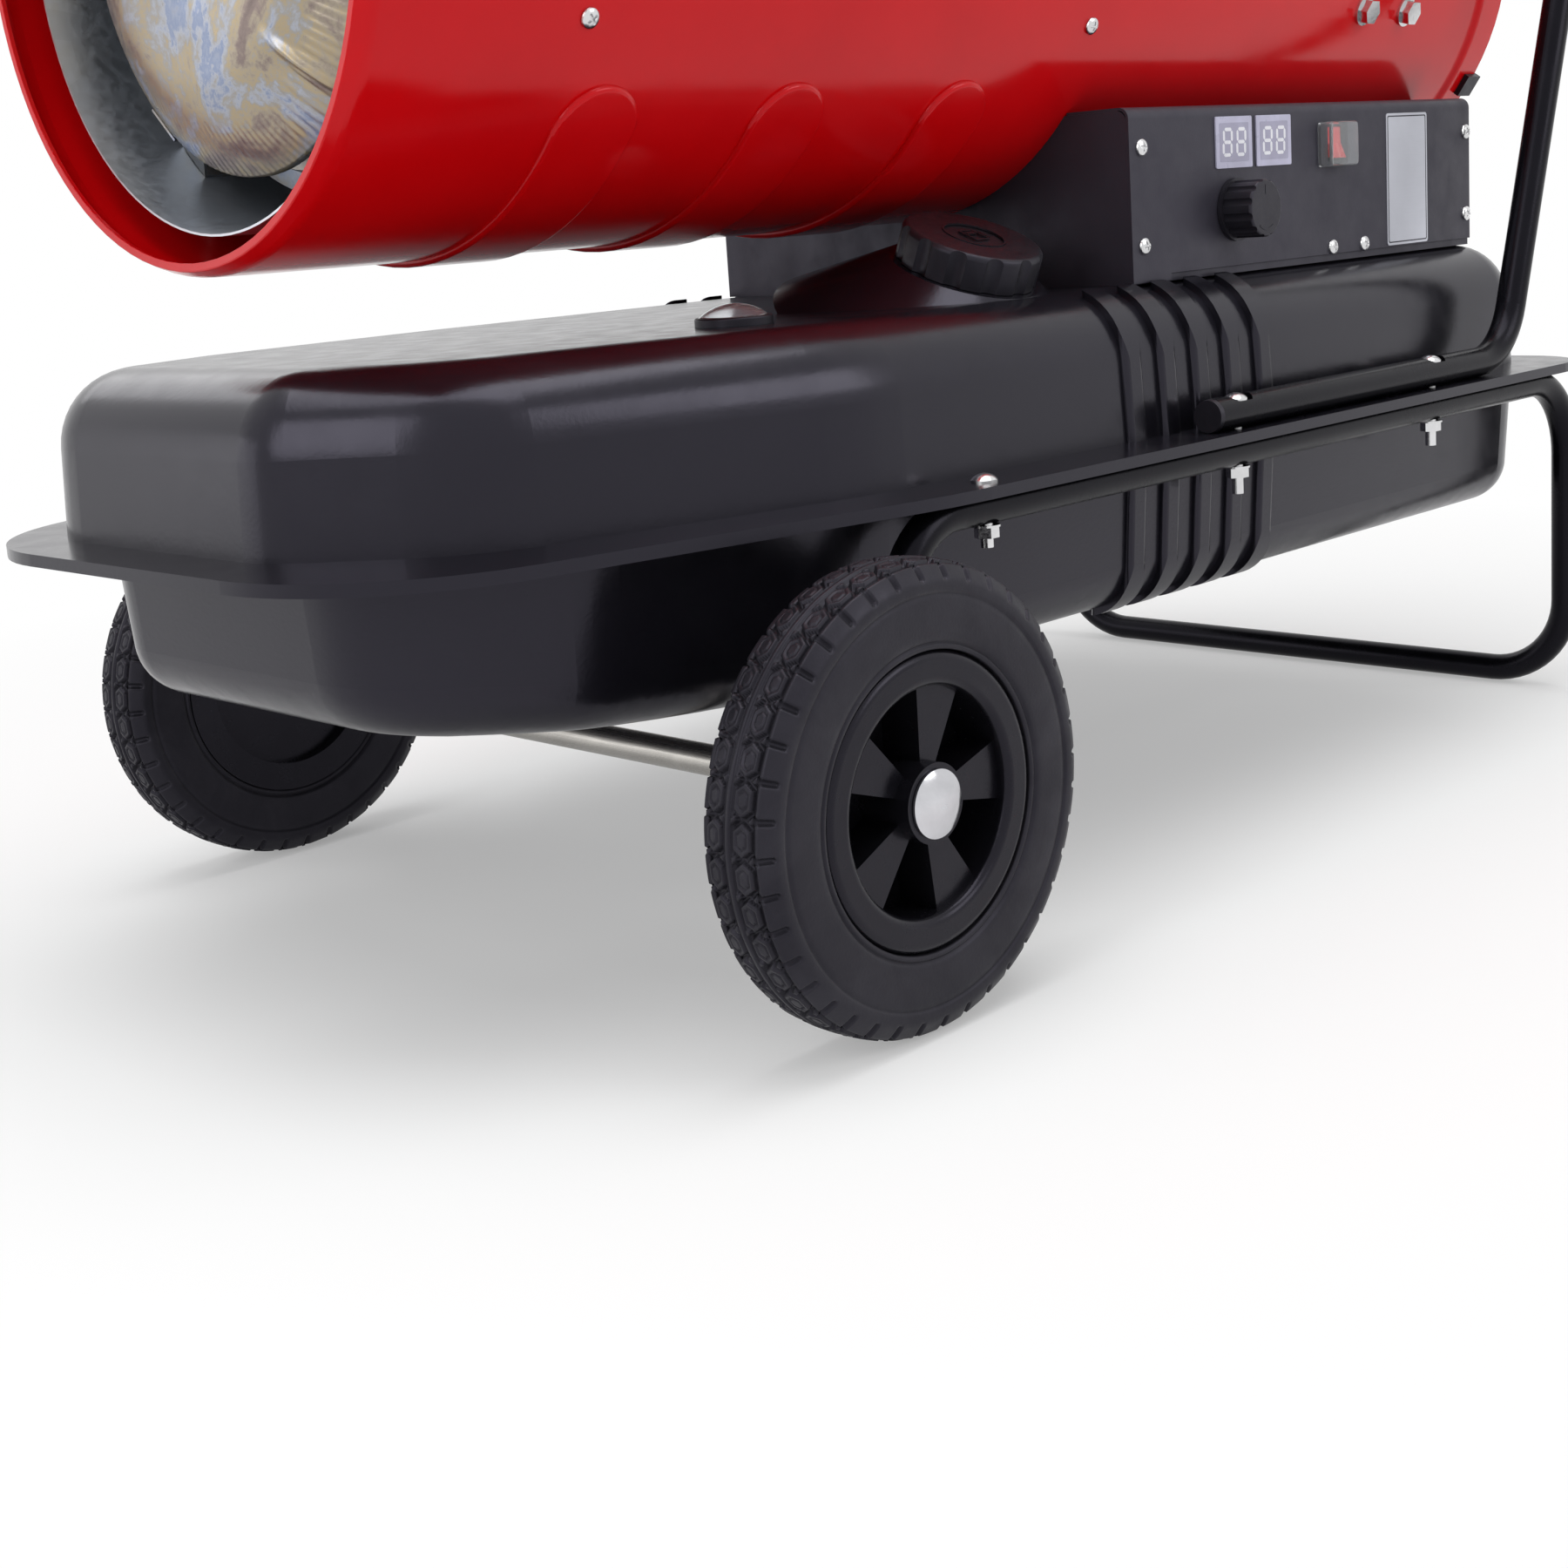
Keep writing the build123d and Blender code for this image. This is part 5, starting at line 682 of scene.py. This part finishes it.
panel_low, panel_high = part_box("control_panel")
left, far_right = panel_low[0] + 0.0102, panel_high[0] - 0.0057
bottom, top = panel_high[2] - 0.0712, panel_high[2] - 0.0207
panel_spots = [(x, z) for x in (left, far_right) for z in (bottom, top)]
panel_spots += [(AXLE_X + 0.4927, 0.298), (AXLE_X + 0.5279, 0.298)]
screws(
    "panel_screw_heads", "panel_screws",
    [
        ((x, PANEL_Y - SEAT_GAP, z), (0, -1, 0), 0.3 + i * 1.1)
        for i, (x, z) in enumerate(panel_spots)
    ],
)

# ---------------------------------------------------------------- flat marks, made of prisms


def facing_panel(x, y, z):
    """Mapping to a face that looks along -Y, about a point: u right, v up, h outward."""
    return lambda u, v, h: (x + u, y - h, z + v)


def prism(outline, low, high, to_world):
    """Extruded polygon between two heights, mapped by to_world(u, v, h)."""
    n = len(outline)
    verts = [to_world(u, v, h) for h in (low, high) for u, v in outline]
    faces = [tuple(reversed(range(n))), tuple(range(n, 2 * n))]
    faces += [(i, (i + 1) % n, n + (i + 1) % n, n + i) for i in range(n)]
    return verts, faces


def frame_strip(outer, inner, low, high, to_world):
    """Flat ring between two outlines with as many points each."""
    n = len(outer)
    loops = ((outer, low), (outer, high), (inner, high), (inner, low))
    verts = [to_world(u, v, h) for line, h in loops for u, v in line]
    return verts, grid_faces(4, n, close_rows=True, close_cols=True)


def box_outline(x0, y0, x1, y1):
    return [(x0, y0), (x1, y0), (x1, y1), (x0, y1)]


def arc_outline(radius, angles):
    return [(radius * math.cos(a), radius * math.sin(a)) for a in angles]


def rounded(width, height, radius, steps=6):
    """Outline of a rounded rectangle about the origin."""
    out = []
    for cx, cy, first in ((1, 1, 0), (-1, 1, 1), (-1, -1, 2), (1, -1, 3)):
        for i in range(steps + 1):
            a = (first + i / steps) * math.pi / 2
            out.append((
                cx * (width / 2 - radius) + radius * math.cos(a),
                cy * (height / 2 - radius) + radius * math.sin(a),
            ))
    return out


def segment(cx, cy, length, width, upright):
    """Six-sided bar of a seven-segment digit."""
    a, b = length / 2, width / 2
    bar = [(-a + b, -b), (a - b, -b), (a, 0), (a - b, b), (-a + b, b), (-a, 0)]
    return [(cx - v, cy + u) if upright else (cx + u, cy + v) for u, v in bar]


# ---------------------------------------------------------------- displays, each with two digits

DISPLAY_PROUD = 0.00085  # the display's face before the panel
WINDOW = (0.0282, 0.0206, 0.0008)  # width, height and corner radius
DIGIT_AT = 0.0066  # a digit's middle from the display's
BAR_WIDTH = 0.0019
BAR_LONG, BAR_SHORT = 0.0068, 0.006
DIGIT_HALF_WIDTH, DIGIT_HALF_HEIGHT = 0.0038, 0.0068
SLANT = 0.08


def digit_bars(middle):
    """All seven bars of a slanted digit, for an 8."""
    bars = [
        segment(middle + v * SLANT, v, BAR_LONG, BAR_WIDTH, False)
        for v in (-DIGIT_HALF_HEIGHT, 0, DIGIT_HALF_HEIGHT)
    ]
    for v in (-DIGIT_HALF_HEIGHT / 2, DIGIT_HALF_HEIGHT / 2):
        for side in (-DIGIT_HALF_WIDTH, DIGIT_HALF_WIDTH):
            bars.append(segment(middle + side + v * SLANT, v, BAR_SHORT, BAR_WIDTH, True))
    return bars


for number, x in enumerate(DISPLAY_XS):
    to_world = facing_panel(x, PANEL_Y - DISPLAY_PROUD, DISPLAY_Z)
    window = prism(rounded(*WINDOW), -0.0002, 0.00012, to_world)
    obj = mesh_object(f"display_window_{number + 1}", *window, display_window, "chassis")
    bars = digit_bars(-DIGIT_AT) + digit_bars(DIGIT_AT)
    shape = joined([prism(bar, 0.00005, 0.0002, to_world) for bar in bars])
    obj = mesh_object(f"display_digits_{number + 1}", *shape, segment_white, "chassis")

# ---------------------------------------------------------------- plate, knob and cap details

PLATE_PROUD = 0.00045  # the plate's face before the panel
BORDER_OUTER, BORDER_INNER = (0.0456, 0.075, 0.0014), (0.0442, 0.0736, 0.001)
MARK_OUTER_R, MARK_INNER_R = 0.0118, 0.0108

to_world = facing_panel(PLATE_X, PANEL_Y - PLATE_PROUD, PLATE_Z)
border = frame_strip(rounded(*BORDER_OUTER), rounded(*BORDER_INNER), -0.0001, 0.00006, to_world)
obj = mesh_object("plate_border", *border, black_plastic, "chassis")

knob_face_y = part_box("thermostat_knob")[0][1]
to_world = facing_panel(KNOB_X, knob_face_y, KNOB_Z)
sweep = [math.radians(a) for a in range(235, 306, 5)]
outer, inner = arc_outline(MARK_OUTER_R, sweep), arc_outline(MARK_INNER_R, sweep)
mark = [
    prism([outer[i], outer[i + 1], inner[i + 1], inner[i]], -0.0003, 0.00022, to_world)
    for i in range(len(sweep) - 1)
]
mark.append(prism(box_outline(-0.0007, 0.0075, 0.0007, 0.0125), -0.0003, 0.0002, to_world))
obj = mesh_object("knob_mark", *joined(mark), black_plastic, "knob")

cap_axis = Vector((0, -math.sin(CAP_TILT), math.cos(CAP_TILT)))
cap_side = Vector((1, 0, 0))
cap_up = cap_axis.cross(cap_side)


def on_cap(u, v, h):
    """Mapping to the cap's top: u and v in the face, h outward."""
    return tuple(CAP_TOP + u * cap_side + v * cap_up + h * cap_axis)


whole_turn = [i * 2 * math.pi / 72 for i in range(72)]
ring = (arc_outline(0.0165, whole_turn), arc_outline(0.0155, whole_turn))
pump_case = (rounded(0.011, 0.013, 0.001), rounded(0.009, 0.011, 0.0006))
emblem = [
    frame_strip(*ring, -0.0004, 0.0005, on_cap),
    frame_strip(*pump_case, -0.0004, 0.0004, on_cap),
    prism(box_outline(-0.0035, 0.0012, 0.0035, 0.004), -0.0004, 0.0004, on_cap),
    prism(box_outline(0.0064, -0.0045, 0.0074, 0.0035), -0.0004, 0.0004, on_cap),
]
obj = mesh_object("cap_emblem", *joined(emblem), black_plastic, "cap")

# ---------------------------------------------------------------- floor, world and lamps

FLOOR_R = 30
FLOOR_Z = -0.0003  # just under the tyres and the foot
FADE = (0.35, 1.15)  # from and to this distance the floor turns to pure white
WORLD_LIGHT = 0.42  # what the white world gives as light
LAMPS = [  # name, place, aim, width and height, watts
    ("lamp_top", (-0.2, -0.2, 2.4), (0, 0, 0.3), (2.4, 1.6), 38),
    ("lamp_front_left", (-2.3, -0.4, 1.3), (-0.2, 0, 0.35), (0.9, 1.5), 12),
    ("lamp_right", (0.9, -2.3, 1.5), (0.1, 0, 0.35), (1.3, 1.2), 14),
    ("lamp_back", (0.4, 2.4, 1.7), (0, 0, 0.3), (2.2, 1.0), 10),
    ("lamp_left_back", (-2.3, 1.7, 0.55), (-0.3, 0, 0.25), (1.7, 1.0), 5),
]

floor_mesh = bpy.data.meshes.new("floor")
bm = bmesh.new()
bmesh.ops.create_circle(bm, cap_ends=True, radius=FLOOR_R, segments=96)
bm.to_mesh(floor_mesh)
bm.free()
floor = bpy.data.objects.new("floor", floor_mesh)
floor.location.z = FLOOR_Z
scene.collection.objects.link(floor)

ground = Mat("floor_white", (0.9, 0.9, 0.9), 0.9, spec=0.0)
distance = ground.new("ShaderNodeVectorMath")
distance.operation = "LENGTH"
ground.link(ground.coords.outputs["Object"], distance.inputs[0])
fade = ground.remap(distance.outputs["Value"], FADE, (0.3, 1))
glow = ground.new("ShaderNodeEmission")
glow.inputs["Color"].default_value = (1, 1, 1, 1)
glow.inputs["Strength"].default_value = 1.0
blend = ground.new("ShaderNodeMixShader")
ground.link(ground.calc("MULTIPLY", fade, ground.seen_directly()), blend.inputs["Fac"])
ground.link(ground.shader.outputs["BSDF"], blend.inputs[1])
ground.link(glow.outputs["Emission"], blend.inputs[2])
ground.link(blend.outputs["Shader"], ground.nodes["Material Output"].inputs["Surface"])
floor_mesh.materials.append(ground.material)

world = bpy.data.worlds.new("studio")
scene.world = world
world.use_nodes = True
sky = Tree(world.node_tree)
background = sky.nodes["Background"]
background.inputs["Color"].default_value = (1, 1, 1, 1)
strength = sky.remap(sky.seen_directly(), (0, 1), (WORLD_LIGHT, 1.0))
sky.link(strength, background.inputs["Strength"])

for name, place, aim, size, power in LAMPS:
    light = bpy.data.lights.new(name, "AREA")
    light.shape = "RECTANGLE"
    light.size, light.size_y = size
    light.energy = power
    obj = bpy.data.objects.new(name, light)
    scene.collection.objects.link(obj)
    obj.location = place
    obj.rotation_mode = "QUATERNION"
    obj.rotation_quaternion = (Vector(aim) - Vector(place)).to_track_quat("-Z", "Y")
